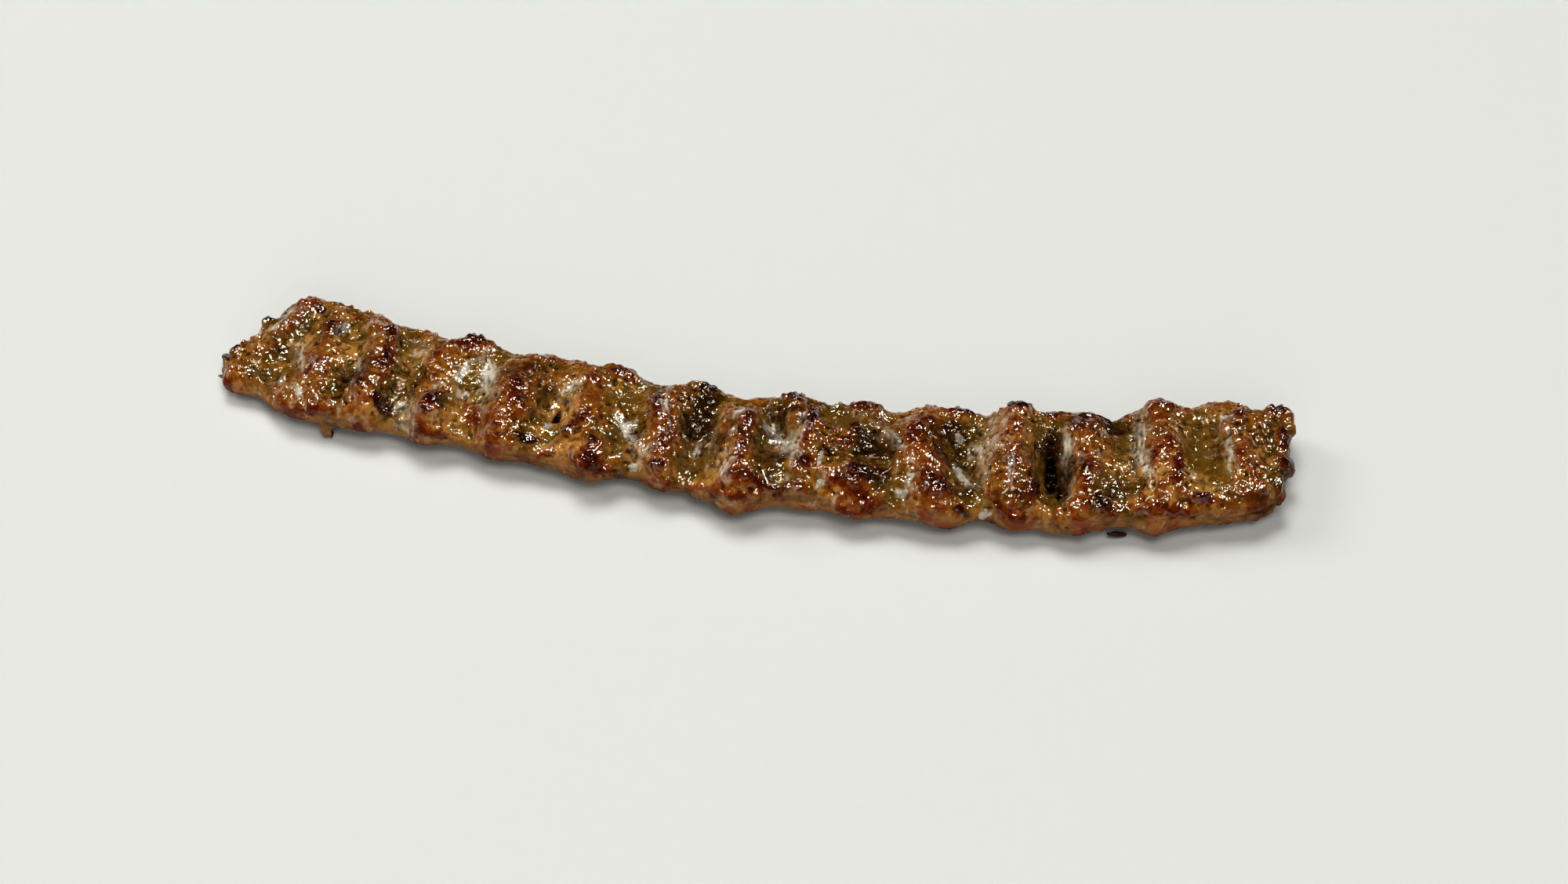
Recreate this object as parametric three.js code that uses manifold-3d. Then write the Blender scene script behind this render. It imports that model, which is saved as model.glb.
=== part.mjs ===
// A grilled koobideh kebab: one long flat strip of minced meat, pressed into ridges by the fingers and
// slid off its skewer, lying on its flat underside. Millimetres, Z up, the table at Z = 0. X runs along
// the strip from its thin charred end to its blunt end, and Y from its front edge to its back edge.

import * as THREE from "three";
import { mergeVertices } from "three/addons/utils/BufferGeometryUtils.js";
import Module from "manifold-3d";

// The strip's middle line in plan, which bows towards the front.
const THIN_END = -123.5;
const BLUNT_END = 130.4;
const HALF_SPAN = 131;
const BOW = 19;
const MIDDLE_Y = -7.1;

// The cross-section: a rounded bar, sunk a little into the table so that it has a flat underside.
const VALLEY_HEIGHT = 11.2;
const SINK = 0.9;
const SQUARENESS = 2.7;
const WIDTHS = [
  // station along X, half of the strip's width there
  [-123, 16.0],
  [-100, 16.8],
  [-60, 16.0],
  [-20, 15.8],
  [25, 16.0],
  [60, 16.8],
  [95, 17.8],
  [130, 16.4],
];
const THICKNESSES = [
  // station along X, share of the valley height there
  [-123, 0.8],
  [-108, 0.96],
  [-40, 1.0],
  [80, 0.98],
  [104, 1.12],
  [130, 1.0],
];

// Both ends were cut aslant, their edges are rounded and their faces bulge. END_TURN is how far the lumps
// at an end push out of it.
const THIN_END_LEAN = 0.19;
const BLUNT_END_LEAN = 0.28;
const END_LEAN_REACH = 24;
const END_ROUND = 6;
const END_PINCH = 0.18;
const END_BULGE = 1.4;
const END_TURN = 0.4;

// Ridges between the finger marks: where the crest lies at the front edge, middle and back edge,
// how far it rises there above the valleys, and its spread along the strip.
const RIDGES = [
  { crest: [-124, -120, -119], rise: [1.6, 2.2, 4.2], spread: 3.6 },
  { crest: [-98, -104, -109], rise: [2.8, 2.4, 1.8], spread: 4.0 },
  { crest: [-86, -91, -99], rise: [2.6, 3.4, 2.2], spread: 4.2 },
  { crest: [-71, -75, -82], rise: [2.8, 2.4, 1.4], spread: 4.4 },
  { crest: [-68, -67, -69], rise: [0.0, 0.8, 4.2], spread: 3.8 },
  { crest: [-52, -55, -55], rise: [2.4, 3.8, 2.4], spread: 6.4 },
  { crest: [-31, -36, -42], rise: [3.2, 3.2, 2.0], spread: 4.6 },
  { crest: [-30, -30, -32], rise: [0.0, 0.8, 3.8], spread: 4.0 },
  { crest: [-15, -17, -15], rise: [2.4, 3.2, 2.8], spread: 4.6 },
  { crest: [4, 1.5, 0.5], rise: [3.4, 3.6, 0.8], spread: 4.6 },
  { crest: [16, 18, 10], rise: [2.4, 3.0, 2.8], spread: 4.4 },
  { crest: [30, 29, 30], rise: [3.0, 1.6, 3.0], spread: 4.6 },
  { crest: [50, 44, 47], rise: [3.0, 3.6, 3.2], spread: 5.0 },
  { crest: [66, 66, 68], rise: [3.0, 3.8, 3.8], spread: 4.2 },
  { crest: [81, 84, 82], rise: [2.8, 3.4, 1.8], spread: 4.4 },
  { crest: [100, 101.5, 101], rise: [2.4, 3.2, 3.4], spread: 4.4 },
  { crest: [119, 120, 121], rise: [2.2, 2.8, 2.2], spread: 4.6 },
];

// Where an edge stands out or draws in: station, amount at that edge, and reach along the strip.
const FRONT_BULGES = [
  { station: -118, amount: 0.8, reach: 4.0 },
  { station: -107, amount: 3.4, reach: 3.6 },
  { station: -93.5, amount: 2.6, reach: 3.0 },
  { station: -80, amount: -1.4, reach: 3.4 },
  { station: -64, amount: -1.0, reach: 4.0 },
  { station: -50, amount: -1.4, reach: 5.0 },
  { station: -22, amount: -1.8, reach: 5.0 },
  { station: 2, amount: 3.2, reach: 5.4 },
  { station: 16, amount: -1.2, reach: 4.0 },
  { station: 32, amount: 0.7, reach: 5.0 },
  { station: 45, amount: 0.8, reach: 6.0 },
  { station: 61, amount: -0.8, reach: 4.0 },
  { station: 74, amount: 0.7, reach: 5.0 },
  { station: 100, amount: 1.0, reach: 7.0 },
  { station: 116, amount: 0.6, reach: 6.0 },
];
const BACK_BULGES = [
  { station: -117, amount: 1.0, reach: 4.0 },
  { station: -103, amount: 1.2, reach: 3.6 },
  { station: -88, amount: 2.4, reach: 3.6 },
  { station: -73, amount: -1.0, reach: 3.6 },
  { station: -46, amount: 1.6, reach: 5.0 },
  { station: -27, amount: 0.8, reach: 4.0 },
  { station: -8, amount: 2.0, reach: 3.0 },
  { station: 1.5, amount: -1.6, reach: 3.4 },
  { station: 21, amount: 1.6, reach: 3.4 },
  { station: 38, amount: -1.4, reach: 4.0 },
  { station: 58, amount: 1.2, reach: 4.0 },
  { station: 78, amount: 1.4, reach: 4.0 },
  { station: 89, amount: -2.2, reach: 4.6 },
  { station: 111, amount: 2.4, reach: 3.4 },
  { station: 129, amount: 1.8, reach: 3.0 },
];

// Pits and pools between the ridges: station, offset towards the back, reach along and across, depth.
const PITS = [
  { at: [-112, -6], reach: [2.6, 6], depth: 1.0 },
  { at: [-96, -8], reach: [2.4, 7], depth: 1.5 },
  { at: [-101, 7], reach: [3.0, 4], depth: 1.4 },
  { at: [-82, -7], reach: [2.6, 6], depth: 1.6 },
  { at: [-66, 3], reach: [2.8, 6], depth: 1.4 },
  { at: [-44.5, 0], reach: [2.4, 3], depth: 2.8 },
  { at: [-31, 7], reach: [4.0, 3.6], depth: 1.8 },
  { at: [-25, -5], reach: [3.4, 5], depth: 1.8 },
  { at: [-8, -5], reach: [2.8, 7], depth: 2.4 },
  { at: [9, 1], reach: [2.6, 6], depth: 1.8 },
  { at: [32, 2], reach: [5.0, 4.5], depth: 1.6 },
  { at: [54.5, 0], reach: [2.8, 9], depth: 1.6 },
  { at: [76, -5], reach: [2.4, 6], depth: 5.0 },
  { at: [93.5, 0], reach: [3.0, 9], depth: 1.4 },
  { at: [112, 2], reach: [4.5, 7], depth: 1.8 },
  { at: [126, -2], reach: [2.0, 4], depth: 1.0 },
];

// Crusty knobs: station, offset towards the back, radius and height.
const KNOB_FALLOFF = 1.6;
const KNOBS = [
  { at: [-115, 12], radius: 3.4, height: 1.2 },
  { at: [-103, -19], radius: 3.2, height: 0.9 },
  { at: [-91, -10], radius: 2.8, height: 1.3 },
  { at: [-84, -15], radius: 3.2, height: 1.5 },
  { at: [-92, 8.5], radius: 2.8, height: 1.2 },
  { at: [-71, -11], radius: 3.6, height: 1.5 },
  { at: [-70, 12], radius: 4.2, height: 1.3 },
  { at: [-55, 2.5], radius: 3.4, height: 0.9 },
  { at: [-49, -15], radius: 3.4, height: 1.2 },
  { at: [-38, 0], radius: 3.4, height: 1.0 },
  { at: [-31, -14], radius: 4.0, height: 1.5 },
  { at: [-33, 14], radius: 3.4, height: 0.8 },
  { at: [-20, 4], radius: 3.2, height: 1.0 },
  { at: [-14, -8], radius: 3.0, height: 1.0 },
  { at: [-14, -16], radius: 3.4, height: 0.8 },
  { at: [2, 4], radius: 3.0, height: 0.9 },
  { at: [5, -14], radius: 4.6, height: 1.6 },
  { at: [11, 13], radius: 3.0, height: 1.4 },
  { at: [17, -8], radius: 3.0, height: 1.0 },
  { at: [27, 5], radius: 2.6, height: 1.2 },
  { at: [31, -10], radius: 4.4, height: 1.8 },
  { at: [33, 14], radius: 4.4, height: 1.4 },
  { at: [44, 3], radius: 3.6, height: 1.0 },
  { at: [52, 13], radius: 3.6, height: 1.6 },
  { at: [55, -17], radius: 3.2, height: 1.4 },
  { at: [68, 15], radius: 2.8, height: 1.4 },
  { at: [70, -13], radius: 3.4, height: 1.4 },
  { at: [84, 6], radius: 3.2, height: 0.9 },
  { at: [80, -17], radius: 4.0, height: 1.2 },
  { at: [88, 15], radius: 3.6, height: 1.0 },
  { at: [104, 16], radius: 4.6, height: 1.2 },
  { at: [104, 0], radius: 3.0, height: 0.9 },
  { at: [108, -14], radius: 3.6, height: 1.2 },
];

// Crags that stand out from the skin as separate nodules: station, offset, height above the table,
// and half sizes along X, Y and Z, each stretched unevenly by a share within CRAG_UNEVENNESS.
const CRAG_UNEVENNESS = [0.82, 1.15];
const CRAGS = [
  { at: [-122.6, -8.6, 7.4], half: [3.4, 2.2, 2.0] },
  { at: [-122.8, -11.6, 3.8], half: [3.6, 2.0, 1.8] },
  { at: [-122.4, 3.0, 8.6], half: [3.0, 2.0, 1.6] },
  { at: [-119.6, 12.0, 9.2], half: [3.4, 2.6, 2.4] },
  { at: [-93.5, -17.2, 2.0], half: [1.7, 3.4, 1.6] },
  { at: [128.6, 12.2, 8.4], half: [4.0, 3.8, 3.4] },
  { at: [128.4, 5.0, 8.6], half: [3.8, 3.4, 3.2] },
  { at: [128.0, -2.4, 8.0], half: [3.6, 3.2, 3.0] },
  { at: [127.6, -11.6, 3.6], half: [3.0, 3.2, 2.8] },
];

// The cleft in the front flank by the blunt end, where the meat has split along its length.
const CLEFT = { from: 113, height: 5.4, halfHeight: 1.1, depth: 2.6 };

// How steeply the skin has to face up to carry the whole relief of the top, or down to carry the finger
// marks underneath: the upward or downward part of its normal where each begins and is complete.
const TOP_RELIEF = [-0.25, 0.65];
const UNDER_RELIEF = [0.3, 0.9];

// How much of the ridges shows at the flanks, and how deep the finger marks are underneath.
const FLANK_SHARE = 0.36;
const UNDER_DEPTH = 1.5;
const UNDER_GROOVE_SPREAD = 3.4;

// Small uneven lumps all over the skin, on the flanks within this share of their height.
const LUMPS = 520;
const LUMPS_FLANK = 0.9;
const LUMP_RADIUS = [1.3, 3.0];
const LUMP_HEIGHT = [-0.8, 1.1];
const SEED = 20417;

// The grid that the skin is made of.
const CELLS_ALONG = 120;
const CELLS_ACROSS = 16;
const CELLS_UP = 6;

const CRUST_BROWN = 0x7d4a24;

// A repeatable stream of random numbers from 0 to 1.
function randomStream(seed) {
  let state = seed;
  return () => {
    state = (state + 0x6d2b79f5) | 0;
    let t = Math.imul(state ^ (state >>> 15), 1 | state);
    t = (t + Math.imul(t ^ (t >>> 7), 61 | t)) ^ t;
    return ((t ^ (t >>> 14)) >>> 0) / 4294967296;
  };
}

const bell = (distance, spread) => Math.exp(-0.5 * (distance / spread) ** 2);

// The value at x of a smooth line through [x, value] rows.
function along(rows, x) {
  const next = rows.findIndex(([at]) => at > x);
  if (next === 0) return rows[0][1];
  if (next < 0) return rows[rows.length - 1][1];
  const [[x0, y0], [x1, y1]] = [rows[next - 1], rows[next]];
  return THREE.MathUtils.lerp(y0, y1, THREE.MathUtils.smoothstep(x, x0, x1));
}

// The curve through a value at the front edge, middle and back edge; t runs from -1 to 1.
const across = ([front, middle, back], t) =>
  middle + (t * (back - front)) / 2 + (t * t * (front + back - 2 * middle)) / 2;

const halfWidthAt = (station) => along(WIDTHS, station);
const edgeBulge = (bulges, station) =>
  bulges.reduce((sum, row) => sum + row.amount * bell(station - row.station, row.reach), 0);
const heightAt = (station) => VALLEY_HEIGHT * along(THICKNESSES, station);

// The point at a station and an offset towards the back, in plan, and the offset's direction.
function planPoint(station, offset) {
  const y = MIDDLE_Y + BOW * (station / HALF_SPAN) ** 2;
  const tangent = new THREE.Vector2(1, (2 * BOW * station) / HALF_SPAN ** 2).normalize();
  const normal = new THREE.Vector2(-tangent.y, tangent.x);
  const lean =
    THIN_END_LEAN * bell(station - THIN_END, END_LEAN_REACH) +
    BLUNT_END_LEAN * bell(station - BLUNT_END, END_LEAN_REACH);
  const point = new THREE.Vector2(station, y)
    .addScaledVector(normal, offset)
    .addScaledVector(tangent, lean * offset);
  return { point, normal, shift: lean * offset };
}

function ridgeRise(station, offset) {
  const t = THREE.MathUtils.clamp(offset / halfWidthAt(station), -1, 1);
  return RIDGES.reduce(
    (sum, { crest, rise, spread }) =>
      sum + across(rise, t) * bell(station - across(crest, t), spread),
    0,
  );
}

function pitDepth(station, offset) {
  return PITS.reduce(
    (sum, { at, reach, depth }) =>
      sum + depth * bell(station - at[0], reach[0]) * bell(offset - at[1], reach[1]),
    0,
  );
}

function knobRise(station, offset) {
  return KNOBS.reduce(
    (sum, { at, radius, height }) =>
      sum + height * bell(Math.hypot(station - at[0], offset - at[1]), radius / KNOB_FALLOFF),
    0,
  );
}

// Finger marks pressed up into the underside, midway between the ridges.
function underDepth(station, offset) {
  const t = THREE.MathUtils.clamp(offset / halfWidthAt(station), -1, 1);
  return RIDGES.slice(1).reduce((sum, ridge, i) => {
    const mark = (across(ridge.crest, t) + across(RIDGES[i].crest, t)) / 2;
    return sum + UNDER_DEPTH * bell(station - mark, UNDER_GROOVE_SPREAD);
  }, 0);
}

function cleftDepth(station, offset, height) {
  const opening = THREE.MathUtils.smoothstep(station, CLEFT.from, BLUNT_END);
  const front = THREE.MathUtils.smoothstep(-offset, 0, halfWidthAt(station));
  return CLEFT.depth * opening * front * bell(height - CLEFT.height, CLEFT.halfHeight);
}

// A point of the skin before the lumps, from its place on a cube from -1 to 1: its position, the way
// out of the skin there, and its height.
function skinPoint(cubeX, cubeY, cubeZ) {
  const station = THREE.MathUtils.mapLinear(cubeX, -1, 1, THIN_END, BLUNT_END);
  const rim = Math.max(Math.abs(cubeY), Math.abs(cubeZ));
  const power = (value) => Math.abs(value) ** SQUARENESS;
  const round = rim > 0 ? (power(cubeY / rim) + power(cubeZ / rim)) ** (-1 / SQUARENESS) : 1;
  const toEnd = Math.min(station - THIN_END, BLUNT_END - station);
  const inRound = 1 - Math.min(toEnd / END_ROUND, 1);
  const pinch = 1 - END_PINCH * (1 - Math.sqrt(1 - inRound ** 2));
  const halfWidth = halfWidthAt(station) * pinch;
  const halfHeight = (heightAt(station) / 2) * pinch;
  const bulges = cubeY < 0 ? FRONT_BULGES : BACK_BULGES;
  const offset = cubeY * round * (halfWidth + Math.abs(cubeY) * edgeBulge(bulges, station));
  const lift = halfHeight * cubeZ * round;
  const slopeY = Math.sign(cubeY) * Math.abs(cubeY * round) ** (SQUARENESS - 1) / halfWidth;
  const slopeZ = Math.sign(lift) * Math.abs(lift / halfHeight) ** (SQUARENESS - 1) / halfHeight;
  const steep = Math.hypot(slopeY, slopeZ) || 1;
  const [outY, outZ] = [slopeY / steep, slopeZ / steep];

  const { point, normal, shift } = planPoint(station, offset);
  const upward = THREE.MathUtils.smoothstep(outZ, ...TOP_RELIEF);
  const downward = THREE.MathUtils.smoothstep(-outZ, ...UNDER_RELIEF);
  const sideways = 1 - upward - downward;
  const height = heightAt(station) / 2 + lift;
  const ridge = ridgeRise(station + shift, offset);
  const push =
    upward * (ridge + knobRise(station + shift, offset) - pitDepth(station + shift, offset)) +
    Math.max(sideways, 0) * FLANK_SHARE * ridge -
    downward * underDepth(station + shift, offset) -
    cleftDepth(station, offset, height);
  const atEnd = Math.abs(cubeX) === 1 ? 1 - rim ** 2 : 0;
  const bulge = Math.sign(cubeX) * END_BULGE * atEnd;
  const out = new THREE.Vector3(normal.x * outY, normal.y * outY, outZ);
  const position = new THREE.Vector3(point.x + bulge, point.y, height).addScaledVector(
    out,
    push * rim ** 2 * pinch,
  );
  if (Math.abs(cubeX) === 1) out.x += Math.sign(cubeX) * (END_TURN + atEnd);
  return { position, out: out.normalize() };
}

// Random lumps, spread evenly over the four long faces and the ends.
function scatteredLumps() {
  const random = randomStream(SEED);
  const between = ([low, high]) => THREE.MathUtils.lerp(low, high, random());
  return Array.from({ length: LUMPS }, () => {
    const turn = random() * 4;
    const [side, place] = [Math.floor(turn), 2 * (turn % 1) - 1];
    const [cubeY, cubeZ] = side % 2 ? [place, side - 2] : [side - 1, place * LUMPS_FLANK];
    const { position } = skinPoint(2 * random() - 1, cubeY, cubeZ);
    return { position, radius: between(LUMP_RADIUS), height: between(LUMP_HEIGHT) };
  });
}

function stripGeometry() {
  const box = new THREE.BoxGeometry(2, 2, 2, CELLS_ALONG, CELLS_ACROSS, CELLS_UP);
  box.deleteAttribute("normal");
  box.deleteAttribute("uv");
  const geometry = mergeVertices(box);
  const places = geometry.getAttribute("position");
  const lumps = scatteredLumps();
  for (let i = 0; i < places.count; i++) {
    const { position, out } = skinPoint(places.getX(i), places.getY(i), places.getZ(i));
    const lumpy = lumps.reduce(
      (sum, lump) => sum + lump.height * bell(position.distanceTo(lump.position), lump.radius),
      0,
    );
    position.addScaledVector(out, lumpy);
    places.setXYZ(i, position.x, position.y, Math.max(position.z - SINK, 0));
  }
  return geometry;
}

function cragGeometry({ at: [station, offset, height], half }, random) {
  const ball = new THREE.IcosahedronGeometry(1, 1);
  ball.deleteAttribute("normal");
  ball.deleteAttribute("uv");
  const geometry = mergeVertices(ball);
  const places = geometry.getAttribute("position");
  for (let i = 0; i < places.count; i++) {
    const uneven = THREE.MathUtils.lerp(...CRAG_UNEVENNESS, random());
    places.setXYZ(i, places.getX(i) * uneven, places.getY(i) * uneven, places.getZ(i) * uneven);
  }
  const { point } = planPoint(station, offset);
  geometry.scale(...half);
  geometry.translate(point.x, point.y, Math.max(height, half[2] * CRAG_UNEVENNESS[1]));
  return geometry;
}

const wasm = await Module();
wasm.setup();

function solidOf(geometry) {
  const vertProperties = geometry.getAttribute("position").array;
  const triVerts = new Uint32Array(geometry.index.array);
  return new wasm.Manifold(new wasm.Mesh({ numProp: 3, vertProperties, triVerts }));
}

function geometryOf(solid) {
  const mesh = solid.getMesh();
  const places = new THREE.BufferAttribute(new Float32Array(mesh.vertProperties), 3);
  return new THREE.BufferGeometry()
    .setAttribute("position", places)
    .setIndex(new THREE.BufferAttribute(mesh.triVerts, 1));
}

// Moves the solid so that its origin is under the middle of its bounding box.
function centred(geometry) {
  geometry.computeBoundingBox();
  const { min, max } = geometry.boundingBox;
  return geometry.translate(-(min.x + max.x) / 2, -(min.y + max.y) / 2, -min.z);
}

function kebabMesh() {
  const random = randomStream(SEED + 1);
  const joined = CRAGS.reduce(
    (solid, crag) => solid.add(solidOf(cragGeometry(crag, random))),
    solidOf(stripGeometry()),
  );
  const meat = new THREE.MeshStandardMaterial({
    color: CRUST_BROWN,
    roughness: 0.42,
    metalness: 0,
  });
  const mesh = new THREE.Mesh(centred(geometryOf(joined)), meat);
  mesh.name = "kebab";
  return mesh;
}

const part = new THREE.Group();
part.add(kebabMesh());

export default part;
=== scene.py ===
import math

import bpy
import numpy as np
from bpy.props import FloatProperty, FloatVectorProperty, IntProperty, PointerProperty
from mathutils import Euler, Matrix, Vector
from mathutils.bvhtree import BVHTree
from mathutils.kdtree import KDTree


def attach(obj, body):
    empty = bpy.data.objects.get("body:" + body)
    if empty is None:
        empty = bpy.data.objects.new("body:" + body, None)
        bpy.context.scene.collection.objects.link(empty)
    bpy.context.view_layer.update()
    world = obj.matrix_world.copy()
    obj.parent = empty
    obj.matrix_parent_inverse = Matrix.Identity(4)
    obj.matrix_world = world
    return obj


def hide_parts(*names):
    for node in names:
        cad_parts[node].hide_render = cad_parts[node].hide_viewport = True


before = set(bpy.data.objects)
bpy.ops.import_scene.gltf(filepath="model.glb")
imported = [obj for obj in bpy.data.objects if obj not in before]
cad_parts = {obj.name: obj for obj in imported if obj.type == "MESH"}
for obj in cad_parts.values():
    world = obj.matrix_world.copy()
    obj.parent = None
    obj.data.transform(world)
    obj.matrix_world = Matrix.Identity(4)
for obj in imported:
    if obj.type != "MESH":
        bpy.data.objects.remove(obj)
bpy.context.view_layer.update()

bl_info = {
    "name": "Koobideh Kebab",
    "version": (1, 0, 0),
    "blender": (4, 5, 0),
    "location": "3D View > Sidebar > Kebab",
    "description": "Dresses a grilled minced-meat kebab and sets it on a pale floor",
    "category": "Object",
}

MM = 0.001

# The strip's middle line in plan, in millimetres: a shallow bow towards the front.
HALF_SPAN = 131.0
BOW = 19.0
MIDDLE_Y = -7.3
# How far in front of the middle line the top starts to turn over, and where it has, in millimetres.
FRONT_EDGE = (9.0, 13.0)
# The map of the top's height has a cell for each millimetre of station and offset, to these limits.
GRID_STATIONS = 136
GRID_OFFSETS = 24
# It is blurred by so many cells: across the strip, along it for a ridge's own height, and along it
# for the usual height.
BLUR_ACROSS = 1.0
BLUR_OWN = 1.2
BLUR_USUAL = 9.0
# A face whose normal rises by more than this is on the top.
TOP_RISE = 0.2
# Rays that look for the top start this high, in metres.
RAY_HEIGHT = 0.1
# Lines within a streak of fat are this far apart, in millimetres, and stand out by this share.
STREAK_GAP = 1.1
STREAK_LINES = 0.5
# The most that spots which overlap can add up to.
MOST_PAINT = 1.3
# No valley counts as deeper than this under the usual height, in millimetres.
DEEPEST_VALLEY = 1.6
# Ridges and valleys count for more from the first to the second of these ways towards the thin end, and
# fade out over these ways towards the back edge, the front edge and both ends.
THIN_END = (30 * MM, 60 * MM)
BACK_FADE = (9.0, 15.0)
FRONT_FADE = (13.0, 17.0)
END_FADE = (6 * MM, 16 * MM)
# The valleys' floors, where fewer granules lie, are raised by this much, in millimetres.
VALLEY_FILL = 0.2
# The usual height of the crust's lip along the front, in millimetres.
LIP_HEIGHT = 8.6
# The height of the cleft in the flank by the blunt end, and the stations between which it opens.
CLEFT_HEIGHT = 5.2
CLEFT_OPENS = (112.0, 124.0)
# How far a lobe of the front flank reaches to each side, in millimetres.
LOBE_REACH = 4.5
# The skin shrinks by this much before granules are fused into it, in metres.
ROOM_FOR_GRANULES = 0.6 * MM
# How far the centres of granules and clots are sunk in it, as shares of their half height.
GRANULES_SUNK = (0.25, 0.9)
CLOTS_SUNK = (0.5, 0.8)
# They lean from the skin's normal by about this much, and their sizes spread by about this share.
LEAN = 0.25
SIZE_SPREAD = 0.28
# The lumps that roughen the fused skin: their size and how far they push it, in metres.
SKIN_LUMPS = ((5.0 * MM, 0.8 * MM), (1.4 * MM, 0.6 * MM))
# Rounds of smoothing along the mesh's edges. The longer ones tell wider bumps from what lies round them.
PART_ROUNDS = 14
LEVEL_ROUNDS = 12
CREASE_ROUNDS = 7
SLOPE_ROUNDS = 20
SIDE_ROUNDS = 30
KNOB_ROUNDS = 60
MOST_MEAT_TRIANGLES = 195000
# The lengths and the widths of shreds, and the sizes of wisps and beads, spread by about these shares.
SHRED_SPREADS = (0.35, 0.3)
WISP_SPREAD = 0.3
BEAD_SPREAD = 0.35
# The height of a strand, as a share of its width: shreds of meat and wisps of fat.
SHRED_FLATNESS = 0.7
WISP_FLATNESS = 0.3
# Wisps scatter about a streak's middle by these shares of its reach along and across, and turn from
# its direction by about this much, in radians.
WISP_SCATTER = (0.55, 0.7)
WISP_TURN = 0.4
# A blob of fat is sunk by this share of its width.
BLOB_SUNK = 0.12
# A bead's length, width and height, for one that is 1 wide.
BEAD_SHAPE = (1.2, 1.0, 0.6)
# Charred scraps are tipped about X and Y by so much, in radians.
SCRAP_TILT = (0.2, 0.15)
# A pool of oil has so many rings of so many points, and is so thick, in metres.
POOL_RINGS = 8
POOL_SIDES = 28
POOL_THICKNESS = 0.8 * MM
# Its middle stands this far over the level fitted to the meat, and its rim is this much lower, in
# millimetres.
POOL_RISE = 0.15
RIM_DROP = 0.9
# A pool that reaches farther than this from the middle line is only painted, in millimetres.
POOL_LIMIT = 14.0
# The floor's side and the distance of every light from the kebab, in metres.
FLOOR_SIDE = 16.0
LIGHT_DISTANCE = 4.0
LIGHT_COLOUR = (1.0, 0.97, 0.92)
SPARKLE_COLOUR = (0.98, 1.0, 0.88)
WORLD_STRENGTH = 0.85
VIEW_GAMMA = 0.82
SENSOR_WIDTH = 36.0

# Lights: name, direction from the kebab, and the size and power that each would have one metre off.
# A sparkle is seen in gloss alone, and any other light in all but gloss.
LIGHTS = [
    ("key_light", (-0.15, 0.32, 0.84), 0.55, 8.2),
    ("window_light", (-0.72, 0.22, 0.52), 0.44, 4.4),
    ("front_light", (0.2, -0.35, 0.85), 0.53, 5.3),
    ("low_light", (0.1, -0.8, 0.35), 0.9, 6.0),
    ("key_sparkle", (-0.15, 0.32, 0.84), 0.24, 22.0),
    ("window_sparkle", (-0.72, 0.22, 0.52), 0.24, 17.0),
    ("left_sparkle", (-0.35, 0.1, 0.85), 0.17, 6.5),
    ("front_sparkle", (0.2, -0.35, 0.85), 0.17, 7.5),
    ("top_sparkle", (0.25, 0.05, 0.9), 0.17, 6.5),
    ("right_sparkle", (0.45, 0.35, 0.7), 0.18, 7.0),
]

# Places on the top of the strip are rows of: station along X, offset from the middle line towards the
# back, reach along the row's own direction, reach across it, that direction's turn from X in degrees,
# and strength. Millimetres.
FAT_STREAKS = [
    (-119, 5, 6.0, 1.7, 82, 0.7),
    (-110, -4, 6.5, 1.0, -55, 0.8),
    (-104, 7, 3.2, 1.6, 90, 0.8),
    (-103.5, -16, 3.6, 0.8, -50, 0.8),
    (-94.5, -3, 4.0, 0.9, -55, 0.6),
    (-94, 12, 3.0, 1.2, 60, 0.6),
    (-84, 8, 3.4, 1.6, 40, 0.6),
    (-80.5, -10, 2.2, 1.6, 60, 0.7),
    (-83, -4, 3.0, 1.0, -50, 0.5),
    (-73, -5, 3.0, 1.1, 80, 0.6),
    (-70, 3, 4.5, 1.2, 75, 0.8),
    (-63.5, 5, 5.4, 1.9, -65, 1.0),
    (-67.5, -2, 2.6, 1.4, 70, 0.7),
    (-43, 6, 3.2, 1.3, 50, 0.8),
    (-44, -6.5, 2.0, 1.0, 80, 0.9),
    (-25, -4.5, 6.4, 1.9, -52, 0.9),
    (-21.5, -13, 1.4, 0.9, 0, 0.8),
    (-18, 4, 4.0, 1.2, -70, 0.8),
    (-15.5, -3, 3.0, 0.9, -75, 0.6),
    (-8.4, -4.5, 3.2, 0.9, 86, 0.9),
    (0, 5, 3.0, 1.3, 85, 0.7),
    (0.5, -2, 2.2, 1.2, 80, 0.6),
    (0.5, -14, 2.2, 1.6, 70, 0.6),
    (7, 4, 3.0, 1.6, 0, 0.6),
    (12.5, -1, 7.6, 2.0, -58, 0.9),
    (15.5, 6, 3.4, 0.9, 60, 0.6),
    (21.5, -7.5, 2.8, 0.8, 85, 0.9),
    (22, -13.5, 1.4, 0.9, 60, 0.8),
    (33, -2, 2.4, 1.0, 80, 0.7),
    (38, 3, 5.0, 0.8, -60, 0.8),
    (42.5, -10, 1.2, 1.1, 0, 0.8),
    (41, -13.5, 1.7, 1.0, -20, 0.8),
    (53.5, 7, 1.8, 1.0, 0, 0.9),
    (55, -6.5, 4.4, 0.9, -52, 0.9),
    (60, -16.5, 1.7, 1.1, 0, 0.9),
    (59, 2.5, 3.0, 2.4, 45, 0.5),
    (65.5, -6, 7.0, 1.3, 88, 0.6),
    (79.3, 3, 6.0, 1.0, 88, 0.7),
    (88.5, 7, 3.0, 1.0, 70, 0.7),
    (86, -1.5, 2.6, 1.2, 60, 0.6),
    (96.5, 4, 7.0, 1.5, 80, 0.7),
    (97, -6, 4.6, 1.1, -75, 0.7),
    (107, -9, 1.2, 1.0, 0, 0.7),
    (112, 1, 1.0, 0.8, 0, 0.9),
    (116.5, -2, 7.4, 1.0, 85, 0.6),
    (118, 11, 1.4, 1.0, 0, 0.7),
]
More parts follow.
